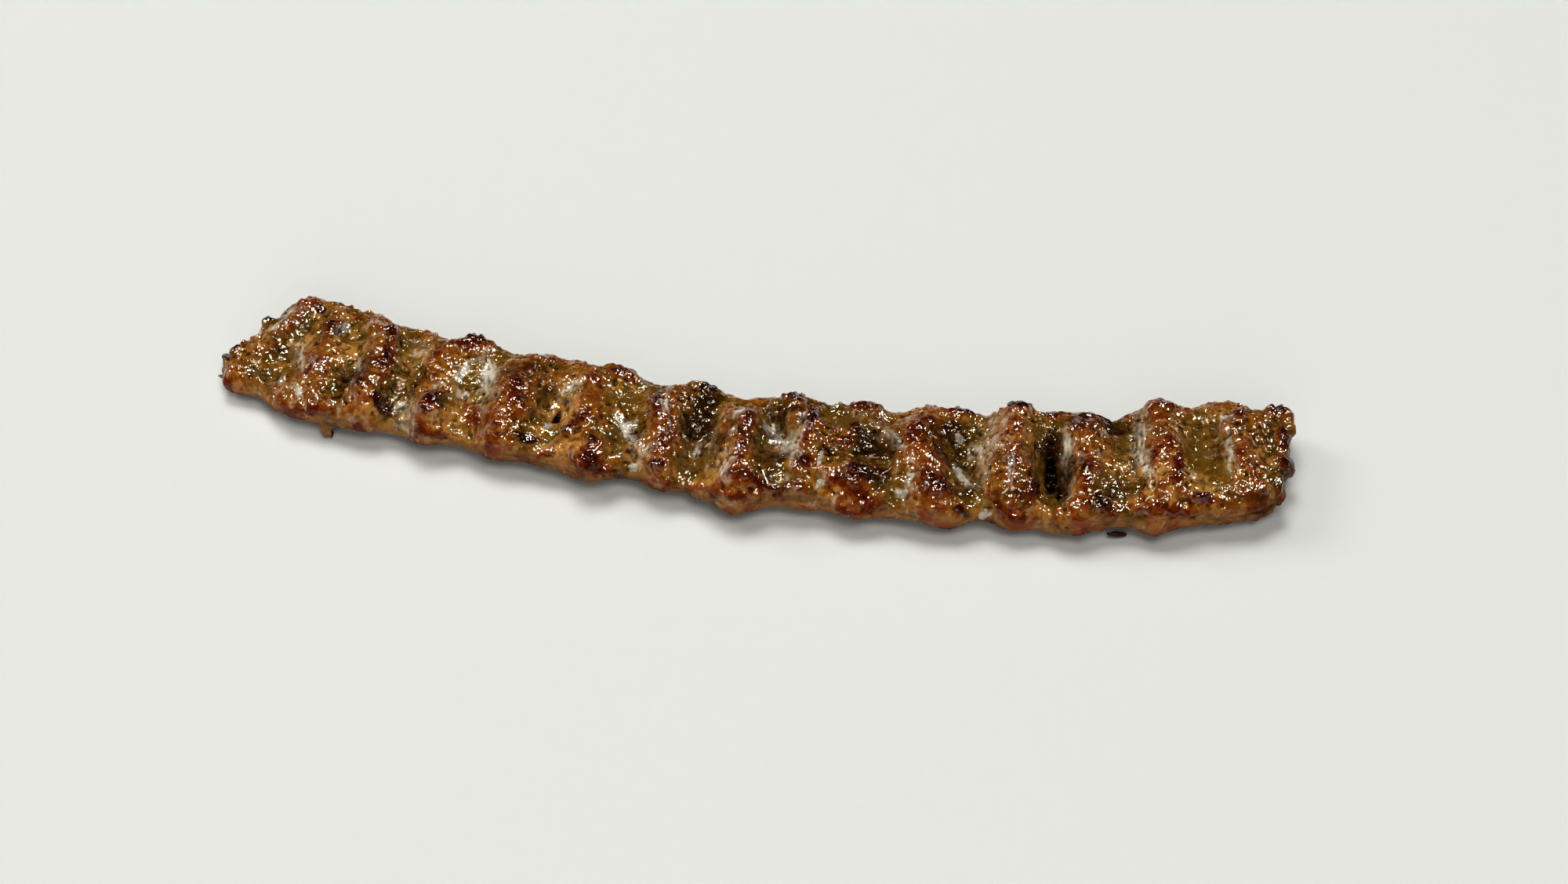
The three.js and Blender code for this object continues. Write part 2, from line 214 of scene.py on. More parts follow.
OIL_POOLS = [
    (-112, -3, 5.0, 2.0, -60, 0.5),
    (-86, 11, 4.0, 3.0, 0, 0.6),
    (-69, -8, 3.4, 1.3, 80, 0.8),
    (-41.5, -4, 6.0, 1.0, 85, 0.9),
    (-29, 7, 5.2, 3.6, 20, 1.2),
    (-8, -9, 3.6, 2.0, 90, 0.8),
    (-5, -12, 3.6, 1.2, 70, 0.7),
    (9, 11, 5.0, 4.0, 0, 0.7),
    (15, -12.5, 4.6, 2.0, 0, 0.7),
    (28, 9, 6.0, 3.4, 0, 0.8),
    (36.5, 13, 3.6, 2.0, 90, 0.9),
    (32, -4, 5.0, 3.0, 0, 0.7),
    (31, -16.5, 4.0, 1.6, 0, 0.6),
    (51, 2, 4.0, 2.6, 90, 0.6),
    (87, -9, 4.0, 2.6, 90, 0.6),
    (93, 6, 4.0, 2.0, 90, 0.4),
    (110, 2, 9.0, 4.4, 90, 0.8),
    (114, -8, 6.0, 2.0, 85, 1.0),
]
CRUST_BANDS = [
    (-116, 4, 12.0, 1.5, 88, 0.45),
    (-129.5, 12.5, 2.2, 1.4, 50, 0.9),
    (-110.5, -12.5, 2.6, 1.4, 60, 0.9),
    (-106, 6, 2.2, 1.2, 90, 1.1),
    (-104, -9, 3.0, 1.8, 60, 0.9),
    (-102, 13, 2.4, 1.4, 0, 0.7),
    (-91, 8, 1.8, 1.4, 0, 1.0),
    (-88.5, 1, 6.0, 1.6, -75, 0.85),
    (-78, 6, 2.4, 1.2, 70, 0.6),
    (-72, 12, 4.0, 2.6, 0, 1.0),
    (-62, -9, 7.0, 2.6, -50, 1.05),
    (-53, -3, 5.0, 2.2, -60, 0.7),
    (-38, 9.5, 2.6, 1.6, 0, 0.9),
    (-37, -6.5, 4.6, 1.4, 50, 1.0),
    (-31, -16, 2.2, 1.8, 0, 1.0),
    (-33, 14, 5.0, 1.8, 0, 0.9),
    (-52, 14, 5.0, 1.6, 0, 0.7),
    (12, 14, 4.0, 1.6, 0, 0.9),
    (31, 14, 5.0, 1.6, 0, 0.9),
    (76, 14.5, 4.0, 1.6, 0, 0.9),
    (91, 15, 5.0, 1.5, 0, 0.8),
    (106, 15, 5.0, 1.5, 0, 0.7),
    (-21, 5, 7.0, 1.9, -65, 1.1),
    (-16, -8, 5.0, 1.6, 60, 0.9),
    (3, 4, 7.0, 1.7, 85, 0.75),
    (3, -9, 4.0, 1.8, 80, 0.6),
    (10, -15.5, 8.0, 1.0, 6, 1.0),
    (17.6, 5, 6.4, 1.5, 86, 1.3),
    (18, -9, 2.6, 2.0, 0, 1.1),
    (27, 1.5, 2.6, 1.8, 30, 1.1),
    (27, -13, 5.0, 1.6, -10, 1.0),
    (32, -16, 4.0, 1.0, 0, 0.8),
    (36, -8, 3.0, 1.4, 60, 0.9),
    (43.5, 4, 6.0, 2.6, 80, 0.7),
    (47, 9, 2.2, 1.4, 80, 0.9),
    (48, -5, 4.0, 2.4, 60, 0.45),
    (49, -12, 5.0, 3.0, 0, 1.1),
    (52, 14, 4.0, 1.6, 0, 0.9),
    (68, 5, 6.0, 2.0, 85, 0.15),
    (71.5, -10, 5.0, 1.3, 80, 1.1),
    (82, 10, 2.6, 1.6, 85, 0.95),
    (82.8, -7, 4.8, 1.3, -85, 1.0),
    (86, -16, 3.4, 1.2, 0, 1.0),
    (99, -4, 3.0, 1.4, 60, 0.5),
    (104, -7.5, 6.0, 1.1, 84, 1.2),
    (109, -15, 4.0, 1.4, 0, 1.1),
    (121, 11.5, 2.4, 1.6, 0, 0.9),
    (122, -7, 6.0, 2.6, 85, 0.5),
    (130, 5.5, 5.0, 2.0, 85, 1.05),
    (129, -4, 2.6, 1.8, 0, 0.8),
]
CHAR_SPOTS = [
    (-123.4, 3.8, 1.4, 1.6, 0, 1.2),
    (-112.6, 11.4, 1.5, 1.3, 0, 1.15),
    (-125, -8, 3.4, 1.0, 80, 0.8),
    (-131, -2, 4.0, 1.0, 70, 0.8),
    (-90.6, -11, 2.3, 2.1, 0, 0.8),
    (-83.6, -12.6, 2.4, 2.4, 0, 1.25),
    (-71.6, -10.6, 2.9, 2.1, 0, 1.25),
    (-78, -15, 2.4, 1.0, 0, 0.8),
    (-70, 14.5, 4.0, 1.6, 0, 1.0),
    (-53.8, 0.4, 1.3, 1.1, 0, 0.9),
    (-51.6, -4.4, 1.6, 1.4, 0, 0.6),
    (-48, -12.6, 4.0, 1.4, 12, 0.95),
    (-39, -8.6, 1.6, 1.2, 0, 1.0),
    (-31.8, -12, 1.8, 1.3, 0, 1.1),
    (-32, 14, 3.4, 1.4, 0, 0.6),
    (-23, -10.6, 1.6, 0.9, 0, 0.8),
    (-16, -14, 2.6, 1.2, 0, 0.9),
    (-10, 14.5, 3.0, 1.4, 0, 0.8),
    (3, -16, 3.4, 1.0, -10, 0.6),
    (17.6, 8, 3.6, 1.0, 88, 0.7),
    (18, -9, 1.8, 1.3, 0, 0.6),
    (27.4, 1.4, 1.4, 1.0, 0, 0.4),
    (31.5, -10.5, 3.6, 2.4, 0, 1.25),
    (37, -8, 1.6, 1.2, 0, 0.6),
    (32, 12.5, 2.4, 1.4, 0, 0.6),
    (45, 9, 2.4, 1.2, 0, 0.5),
    (50, -13, 4.6, 1.8, 0, 0.8),
    (55, 15, 3.0, 1.6, 0, 1.0),
    (55, -17.2, 2.6, 1.2, 0, 0.8),
    (68, 15.5, 2.6, 2.2, 0, 1.3),
    (72, -9.5, 3.4, 0.8, 80, 0.7),
    (75, 15, 2.4, 1.4, 0, 0.7),
    (82, 12.5, 2.6, 1.4, 0, 0.7),
    (84, -16.5, 3.6, 0.9, 0, 0.6),
    (104, -9.5, 3.0, 0.7, 85, 0.6),
    (108, -15, 1.8, 1.0, 0, 0.8),
    (131, 13, 3.0, 2.2, 0, 1.1),
    (131, 2.5, 1.8, 1.4, 0, 0.8),
]
# Deep holes in the top: sunk into it, and darkened by painted shade.
DARK_HOLES = [
    (-43.9, -1.8, 3.0, 0.9, 86, 1.3),
    (75.6, -1.6, 4.8, 1.3, 88, 1.3),
    (77.2, -9.0, 4.4, 0.8, 84, 0.8),
    (75.2, 7, 4.4, 1.4, 88, 0.45),
    (75.2, -3, 7.5, 2.6, 86, 0.4),
    (-8.4, -6, 4.0, 1.6, 88, 0.5),
]
DARK_PATCHES = [
    (-96, -9, 5.0, 3.0, 80, 0.5),
    (-48, 5, 6.0, 4.0, 90, 1.0),
    (-9, 4, 9.0, 3.4, 88, 1.3),
    (14, -6, 7.0, 4.0, 0, 0.8),
    (31, -2, 11.0, 3.8, 88, 1.3),
    (38, 0, 7.0, 3.0, 85, 0.8),
    (51, 1, 8.0, 3.0, 90, 0.9),
    (57, -4, 10.0, 3.4, 84, 1.2),
    (75.5, 4, 6.0, 2.2, 88, 1.0),
    (77, -8, 6.0, 2.2, 86, 1.0),
    (91, 8, 6.0, 3.0, 80, 0.5),
    (119, 4, 7.0, 3.0, 85, 0.5),
    (-131, -12, 6.0, 4.0, 70, 0.9),
    (-124, 9, 4.0, 4.0, 0, 0.7),
    (-108, -3, 4.0, 4.0, 0, 0.6),
    (-92, -8, 8.0, 4.0, 88, 0.9),
    (-76, 10, 5.0, 3.0, 0, 0.7),
    (-53, 6, 6.0, 6.0, 0, 1.2),
    (9, -4, 12.0, 6.0, 85, 0.6),
    (31, 9, 4.5, 4.5, 0, 1.9),
    (12, 10, 6.0, 4.0, 0, 0.7),
    (13, -15, 10.0, 3.0, 0, 0.6),
    (52, 4, 6.0, 4.0, 85, 0.9),
    (36, -10, 8.0, 4.0, 85, 0.8),
    (48, 9, 10.0, 4.0, 0, 0.6),
    (68, -15, 4.0, 3.0, 0, 0.8),
    (86, 9, 7.0, 4.0, 0, 0.8),
    (86, -15, 4.0, 3.0, 0, 1.2),
    (23, -3, 4.0, 3.0, 0, 0.8),
    (116, -15, 6.0, 3.0, 0, 0.5),
    (126, 4, 4.0, 5.0, 0, 0.9),
]
# Golden patches of paler meat. Along the front shoulder, at offsets of -13 to -16, they are also a painted
# highlight where the shoulder catches the light.
GOLDEN_AND_LIT_PATCHES = [
    (-112, -1, 7.0, 4.0, 0, 0.5),
    (-84, 4, 6.0, 4.0, 80, 0.6),
    (-66, -10, 6.0, 3.0, 0, 0.8),
    (-64, -15, 9.0, 2.6, 0, 1.0),
    (-42, -15, 6.0, 2.6, 0, 1.0),
    (-40.6, -3, 5.0, 2.0, 86, 1.0),
    (-84, -16, 6.0, 2.6, 0, 0.7),
    (-4, -14, 6.0, 3.0, 60, 1.1),
    (-36, -14, 3.0, 2.4, 0, 1.0),
    (-75, -15, 5.0, 2.4, 0, 0.8),
    (-18, -15, 5.0, 2.4, 0, 0.7),
    (25, -15, 6.0, 2.0, 0, 0.5),
    (68, 4, 7.0, 2.4, 86, 1.0),
    (101, -15, 7.0, 2.4, 0, 1.0),
    (112, -13, 5.0, 2.0, 0, 0.6),
    (-100, 1, 6.0, 5.0, 0, 0.8),
    (-28, 10, 5.0, 4.0, 0, 0.7),
    (124, -4, 4.0, 6.0, 0, 0.7),
    (-84, 9, 4.0, 4.0, 0, 0.7),
    (-70, -2, 6.0, 5.0, 0, 0.7),
    (-43, -1, 4.0, 6.0, 0, 1.1),
    (-2, -16, 5.0, 2.4, 0, 0.9),
    (59, -16, 4.0, 2.4, 0, 0.7),
    (92, -5, 5.0, 5.0, 0, 0.6),
    (104, -9, 9.0, 4.0, 0, 1.0),
    (108, 0, 5.0, 5.0, 0, 0.8),
]
# Each table's spots are an attribute of the skin. Knobs stand out of it and pools sink into it by so many
# millimetres, times their strength.
SPOTS = {
    "fat": (FAT_STREAKS, -0.25),
    "oil": (OIL_POOLS, -0.5),
    "crust": (CRUST_BANDS, 0.55),
    "char": (CHAR_SPOTS, 0.8),
    "hole": (DARK_HOLES, -1.6),
    "dusk": (DARK_PATCHES, 0.0),
    "gold_and_lit": (GOLDEN_AND_LIT_PATCHES, 0.0),
}
# Pale blobs of fat: station, offset, length, width, turn.
FAT_BLOBS = [
    (60, -15.6, 3.8, 2.6, 70),
    (53.5, 7, 4.2, 2.2, -40),
    (54.5, -4.5, 4.0, 1.6, -55),
    (58, -9, 2.6, 1.2, -50),
    (57.5, -13.4, 2.4, 1.0, 60),
    (42.5, -10, 3.0, 2.2, 60),
    (41, -13.6, 4.2, 2.0, 20),
    (22, -13, 2.6, 1.8, 60),
    (21.5, -6.5, 4.0, 1.4, 82),
    (-21.5, -13, 2.8, 1.6, -30),
    (-44, -6.5, 2.8, 1.4, 80),
    (33, -1.5, 4.0, 1.4, 80),
    (112, 1, 2.2, 1.6, 0),
    (118, 11, 2.4, 1.6, 0),
    (80, 8, 2.6, 1.2, 80),
]
# Stations where a ridge runs down the front flank as a lobe.
FRONT_LOBES = (-122, -104, -88, -73, -55, -31, -15, 4, 17, 30, 50, 66, 81, 100, 119)
# Charred scraps that stick out: station, offset, height over the floor, length, width, thickness, turn.
CHAR_SCRAPS = [
    (-127.8, -8.2, 4.4, 3.0, 2.0, 1.7, 20),
    (-125.6, -12.6, 2.8, 4.4, 1.2, 0.8, 35),
    (-126.4, -10.6, 3.4, 3.6, 1.2, 1.0, 75),
    (-127.0, -5.2, 4.8, 5.0, 1.2, 0.9, 70),
    (-94.9, -18.2, 1.0, 2.6, 1.1, 1.0, -60),
    (-9.0, 14.8, 10.6, 3.2, 1.4, 1.2, 10),
    (66.5, 16.0, 12.4, 3.0, 1.2, 1.0, 20),
    (90.0, -17.0, 1.4, 5.0, 1.4, 1.0, 5),
]


def linear(red, green, blue):
    """A scene-linear colour from screen values from 0 to 255."""
    shares = [value / 255 for value in (red, green, blue)]
    return tuple(s / 12.92 if s <= 0.04045 else ((s + 0.055) / 1.055) ** 2.4 for s in shares)


def colour(name, description, red, green, blue):
    return FloatVectorProperty(
        name=name,
        description=description,
        default=linear(red, green, blue),
        subtype="COLOR",
        min=0.0,
        max=1.0,
    )


def length(name, description, default):
    return FloatProperty(name=name, description=description, default=default, unit="LENGTH", precision=5)


def number(name, description, default):
    return IntProperty(name=name, description=description, default=default)


def factor(name, description, default):
    return FloatProperty(
        name=name, description=description, default=default, subtype="FACTOR", soft_min=0.0, soft_max=1.0
    )


def degrees(name, description, default):
    return FloatProperty(name=name, description=description, default=math.radians(default), subtype="ANGLE")


class KebabShape(bpy.types.PropertyGroup):
    granules: number("Granules", "How many granules of mince are fused into the skin", 9000)
    granule_length: length("Granule length", "Usual length of a granule of mince", 2.4 * MM)
    granule_width: length("Granule width", "Usual width of a granule of mince", 1.5 * MM)
    clots: number("Clots", "How many bigger clots of mince are fused into the skin", 600)
    clot_length: length("Clot length", "Usual length of a clot of mince", 5.0 * MM)
    clot_width: length("Clot width", "Usual width of a clot of mince", 3.4 * MM)
    ridge_gain: factor("Ridge gain", "How much higher the ridges stand than on the solid", 0.35)
    valley_gain: factor("Valley gain", "How much deeper the valleys lie than on the solid", 0.7)
    thin_end_gain: factor("Thin end gain", "How much more both gains count towards the thin end", 0.8)
    voxel: length("Voxel", "Finest detail that the skin's mesh keeps", 0.36 * MM)
    seed: number("Seed", "Seed of every random draw", 11)


class KebabBits(bpy.types.PropertyGroup):
    shreds: number("Shreds", "How many loose shreds of meat are strewn over the top", 260)
    shred_length: length("Shred length", "Usual length of a loose shred of meat", 1.5 * MM)
    shred_width: length("Shred width", "Usual width of a loose shred of meat", 0.7 * MM)
    wisps: FloatProperty(
        name="Wisps",
        description="How many wisps of fat lie on each square millimetre of a fat streak",
        default=0.12,
    )
    wisp_length: length("Wisp length", "Usual length of a wisp of fat", 1.7 * MM)
    wisp_width: length("Wisp width", "Usual width of a wisp of fat", 0.38 * MM)
    beads: number("Beads", "How many small beads of oil stand on the top", 300)
    bead_width: length("Bead width", "Usual width of a bead of oil", 0.9 * MM)


class KebabColours(bpy.types.PropertyGroup):
    valley: colour("Valleys", "Olive brown meat between the ridges", 100, 73, 18)
    brown: colour("Browned meat", "Orange brown meat on the ridges", 122, 77, 21)
    ochre: colour("Golden meat", "Paler golden granules", 166, 123, 64)
    # Painted shade in creases, valleys, pits and folds, and darker random tone in broad patches.
    shade_and_dark_tone: colour("Creases", "What the creases between granules are darkened by", 90, 40, 10)
    rust: colour("Rust", "Lightly seared, orange red crust", 116, 55, 13)
    crust: colour("Red crust", "Well-browned ridge crests", 84, 28, 5)
    seared: colour("Seared crust", "The darkest red-brown crust", 52, 12, 3)
    char: colour("Char", "Burnt knobs and lips", 34, 9, 4)
    flank: colour("Flank", "The smoother sides and underside", 138, 99, 54)
    oil: colour("Oil pools", "Meat seen through pools of golden oil", 110, 78, 10)
    fat: colour("Set fat", "Milky fat in streaks", 190, 190, 184)
    wisp: colour("Wisps", "Paler shreds of meat and thin fat over it", 178, 168, 146)


class StageSettings(bpy.types.PropertyGroup):
    azimuth: degrees("Azimuth", "The camera's turn round the kebab, from its front", 10.5)
    elevation: degrees("Elevation", "The camera's height above the horizon", 44.0)
    distance: length("Distance", "From the camera to the point it looks at", 0.84)
    target: FloatVectorProperty(
        name="Target",
        description="The point that the camera looks at",
        default=(11.0 * MM, -2.2 * MM, 5.0 * MM),
        subtype="TRANSLATION",
        unit="LENGTH",
    )
    lens: FloatProperty(name="Lens", description="Focal length in millimetres", default=80.0)
    floor: colour("Floor", "The plain pale floor", 190, 193, 194)


def select_only(obj):
    bpy.ops.object.select_all(action="DESELECT")
    obj.select_set(True)
    bpy.context.view_layer.objects.active = obj


def apply_modifier(obj, kind, **settings):
    """Adds a modifier with these settings and applies it."""
    select_only(obj)
    modifier = obj.modifiers.new(kind.title(), kind)
    for name, value in settings.items():
        setattr(modifier, name, value)
    bpy.ops.object.modifier_apply(modifier=modifier.name)


def edit_all(obj, *steps):
    """Runs edit-mode steps on the whole of a mesh."""
    select_only(obj)
    bpy.ops.object.mode_set(mode="EDIT")
    bpy.ops.mesh.select_all(action="SELECT")
    for step in steps:
        step()
    bpy.ops.object.mode_set(mode="OBJECT")


def merge_doubles():
    bpy.ops.mesh.remove_doubles(threshold=0.01 * MM)


def face_outwards():
    bpy.ops.mesh.normals_make_consistent(inside=False)


def linked(name, mesh):
    obj = bpy.data.objects.new(name, mesh)
    bpy.context.scene.collection.objects.link(obj)
    return obj


def new_object(name, vertices, faces):
    mesh = bpy.data.meshes.new(name)
    mesh.from_pydata(vertices, [], faces)
    return linked(name, mesh)


def of_each_point(mesh, name):
    flat = np.empty(len(mesh.vertices) * 3, np.float32)
    mesh.vertices.foreach_get(name, flat)
    return flat.reshape(-1, 3).astype(float)


def coordinates(mesh):
    return of_each_point(mesh, "co")


def vertex_normals(mesh):
    return of_each_point(mesh, "normal")


def set_coordinates(mesh, places):
    mesh.vertices.foreach_set("co", places.astype(np.float32).ravel())
    mesh.update()


def smoothstep(values, low, high):
    """0 where a value is low, 1 where it is high, and a smooth rise between them."""
    t = np.clip((values - low) / (high - low), 0.0, 1.0)
    return t * t * (3.0 - 2.0 * t)


def on_strip(places):
    """The station and offset, in millimetres, of places in metres."""
    x, y = places[:, 0] / MM, places[:, 1] / MM
    station, offset = x.copy(), y - MIDDLE_Y
    for _ in range(4):
        slope = 2 * BOW * station / HALF_SPAN**2
        level = 1 / np.sqrt(1 + slope**2)
        offset = (y - MIDDLE_Y - BOW * (station / HALF_SPAN) ** 2) / level
        station = x + slope * level * offset
    return station, offset


def in_plan(station, offset):
    """The x and y, in metres, of a place given by station and offset, and the strip's turn there."""
    slope = 2 * BOW * station / HALF_SPAN**2
    level = 1 / math.sqrt(1 + slope**2)
    x = station - slope * level * offset
    y = MIDDLE_Y + BOW * (station / HALF_SPAN) ** 2 + level * offset
    return x * MM, y * MM, math.atan(slope)


def beside(station, offset, tilt, along, across):
    """The station and offset of a place so far along a direction that is tilted from X, and across it."""
    return (
        station + math.cos(tilt) * along - math.sin(tilt) * across,
        offset + math.sin(tilt) * along + math.cos(tilt) * across,
    )


def painted(rows, station, offset, streak=0.0):
    """How strongly rows of spots cover each place; streak is how much they break into lines."""
    total = np.zeros(len(station))
    for s, v, along, across, turn, strength in rows:
        c, n = math.cos(math.radians(turn)), math.sin(math.radians(turn))
        ds, dv = station - s, offset - v
        u, w = c * ds + n * dv, c * dv - n * ds
        lines = 1.0 + streak * np.sin(2 * math.pi * w / STREAK_GAP + 1.4 * np.sin(u / 1.7 + s))
        total += strength * lines * np.exp(-((u / along) ** 2) - (w / across) ** 2)
    return np.clip(total, 0.0, MOST_PAINT)


def blurred(grid, weight, sigma, axis):
    """A grid blurred along one axis by so many cells, with cells of no weight left out."""
    reach = np.arange(-3 * int(sigma + 1), 3 * int(sigma + 1) + 1)
    spread = np.exp(-0.5 * (reach / sigma) ** 2)

    def blur(line):
        return np.convolve(line, spread, "same")

    total = np.apply_along_axis(blur, axis, grid * weight)
    share = np.apply_along_axis(blur, axis, weight)
    return total / np.maximum(share, 1e-6), share


def ridge_height(places, normals):
    """How far each place's ridge or valley is over or under the strip's usual height there."""
    station, offset = on_strip(places)
    shape = (2 * GRID_STATIONS + 1, 2 * GRID_OFFSETS + 1)
    row = np.clip(np.rint(station).astype(int) + GRID_STATIONS, 0, shape[0] - 1)
    column = np.clip(np.rint(offset).astype(int) + GRID_OFFSETS, 0, shape[1] - 1)
    cell = row * shape[1] + column
    up = normals[:, 2] > TOP_RISE
    size = shape[0] * shape[1]
    count = np.bincount(cell[up], minlength=size).astype(float)
    height = np.bincount(cell[up], places[up, 2] / MM, size) / np.maximum(count, 1)
    height, seen = height.reshape(shape), np.minimum(count, 1).reshape(shape)
    height, seen = blurred(height, seen, BLUR_ACROSS, 1)
    seen = np.minimum(seen, 1)
    own, _ = blurred(height, seen, BLUR_OWN, 0)
    usual, _ = blurred(height, seen, BLUR_USUAL, 0)
    return (own - usual).ravel()[cell]


def relief(places):
    """How far the top stands out at its knobs and sinks at its pools and holes, in millimetres."""
    station, offset = on_strip(places)
    return sum(height * painted(rows, station, offset) for rows, height in SPOTS.values() if height)


class Smoother:
    """Smooths a mesh's points along its edges, to tell bumps from hollows at any scale."""

    def __init__(self, mesh):
        pairs = np.empty(len(mesh.edges) * 2, np.int32)
        mesh.edges.foreach_get("vertices", pairs)
        self.a, self.b = pairs[::2], pairs[1::2]
        self.count = len(mesh.vertices)
        ends = np.concatenate([self.a, self.b])
        self.degree = np.maximum(np.bincount(ends, minlength=self.count), 1)

    def smoothed(self, values, rounds):
        for _ in range(rounds):
            total = np.bincount(self.a, values[self.b], self.count)
            total += np.bincount(self.b, values[self.a], self.count)
            values = total / self.degree
        return values

    def rise(self, places, normals, rounds):
        """How far each point stands out of the skin smoothed by so many rounds."""
        level = np.stack([self.smoothed(places[:, i], rounds) for i in range(3)], axis=1)
        return ((places - level) * normals).sum(axis=1)


def set_attribute(mesh, name, values):
    attribute = mesh.attributes.new(name, "FLOAT", "POINT")
    attribute.data.foreach_set("value", values.astype(np.float32))


def surface_points(mesh, count, rng, weight=None):
    """Random points on a mesh's triangles, with their normals; weight is a value for each triangle."""
    mesh.calc_loop_triangles()
    corners = np.empty(len(mesh.loop_triangles) * 3, np.int32)
    mesh.loop_triangles.foreach_get("vertices", corners)
    triangles = coordinates(mesh)[corners.reshape(-1, 3)]
    sides = triangles[:, 1:] - triangles[:, :1]
    cross = np.cross(sides[:, 0], sides[:, 1])
    area = np.linalg.norm(cross, axis=1)
    normals = cross / np.maximum(area, 1e-12)[:, None]
    share = area if weight is None else area * weight(triangles.mean(axis=1), normals)
    ends = np.cumsum(share)
    chosen = np.searchsorted(ends, rng.random(count) * ends[-1])
    u, v = rng.random(count), rng.random(count)
    fold = u + v > 1
    u, v = np.where(fold, 1 - u, u), np.where(fold, 1 - v, v)
    points = triangles[chosen, 0] + u[:, None] * sides[chosen, 0] + v[:, None] * sides[chosen, 1]
    return points, normals[chosen]


def turned_frames(normals, rng, tilt=0.0):
    """For each normal, a frame whose third axis leans from it by the tilt and whose first is random."""
    lean = normals + tilt * rng.normal(size=normals.shape)
    lean /= np.linalg.norm(lean, axis=1)[:, None]
    way = np.cross(lean, rng.normal(size=lean.shape))
    way /= np.linalg.norm(way, axis=1)[:, None]
    return np.stack([way, np.cross(lean, way), lean], axis=2)


def joined_copies(name, template, places, frames, sizes):
    """One mesh of many copies of a template, each at its place, turned by its frame and stretched."""
    corners = coordinates(template.data)
    faces = np.array([tuple(p.vertices) for p in template.data.polygons])
    stretched = corners[None] * sizes[:, None, :]
    points = places[:, None, :] + np.einsum("nij,nkj->nki", frames, stretched)
    starts = np.arange(len(places))[:, None, None] * len(corners)
    return new_object(name, points.reshape(-1, 3), (faces[None] + starts).reshape(-1, faces.shape[1]))


def remove(obj):
    bpy.data.objects.remove(obj)


def unit_ball(subdivisions):
    """A ball of radius 1, to be stretched into granules, scraps and drops."""
    bpy.ops.object.select_all(action="DESELECT")
    bpy.ops.mesh.primitive_ico_sphere_add(subdivisions=subdivisions, radius=1.0)
    return bpy.context.object


def roughen(obj, size, strength):
    """Pushes a surface in and out by cloudy lumps of about this size."""
    texture = bpy.data.textures.new(f"{obj.name} lumps", "CLOUDS")
    texture.noise_scale = size
    apply_modifier(obj, "DISPLACE", texture=texture, strength=strength, mid_level=0.5)


def rough_balls(name, places, frames, sizes, lump, strength):
    """Roughened balls of mesh at these places, turned by their frames, with these half sizes."""
    ball = unit_ball(subdivisions=3)
    balls = joined_copies(name, ball, np.array(places), np.array(frames), np.array(sizes))
    remove(ball)
    roughen(balls, lump, strength)
    return balls


def thin_out(obj, most):
    """Thins the underside to a sixth of its triangles, then the whole piece to at most so many."""
    under = obj.vertex_groups.new(name="under")
    faces_down = vertex_normals(obj.data)[:, 2] < -0.5
    under.add(np.flatnonzero(faces_down).tolist(), 1.0, "REPLACE")
    kept = 1.0 - faces_down.mean() * 5 / 6
    apply_modifier(obj, "DECIMATE", ratio=kept, vertex_group="under")
    obj.vertex_groups.clear()
    obj.data.calc_loop_triangles()
    apply_modifier(obj, "DECIMATE", ratio=min(1.0, most / len(obj.data.loop_triangles)))


def merged_copy(node, name):
    """A new object with the node's own shape, its loose triangles merged."""
    mesh = node.data.copy()
    mesh.materials.clear()
    obj = linked(name, mesh)
    edit_all(obj, merge_doubles, face_outwards)
    return obj


def join(target, *others):
    select_only(target)
    for obj in others:
        obj.select_set(True)
    bpy.ops.object.join()


def find_top(tree, x, y):
    """The highest point at x and y, and the normal there, or None for both."""
    return tree.ray_cast(Vector((x, y, RAY_HEIGHT)), Vector((0, 0, -1)))[:2]


def granule_weight(centres, normals):
    """Granules crowd on the top and thin out in the valleys and on the flanks."""
    crowd = 0.7 + 0.3 * smoothstep(ridge_height(centres, normals), -0.8, 0.3)
    return 0.04 + 0.96 * smoothstep(normals[:, 2], 0.1, 0.6) * crowd


def clot_weight(centres, normals):
    """Clots are only on the top."""
    return smoothstep(normals[:, 2], 0.2, 0.7)


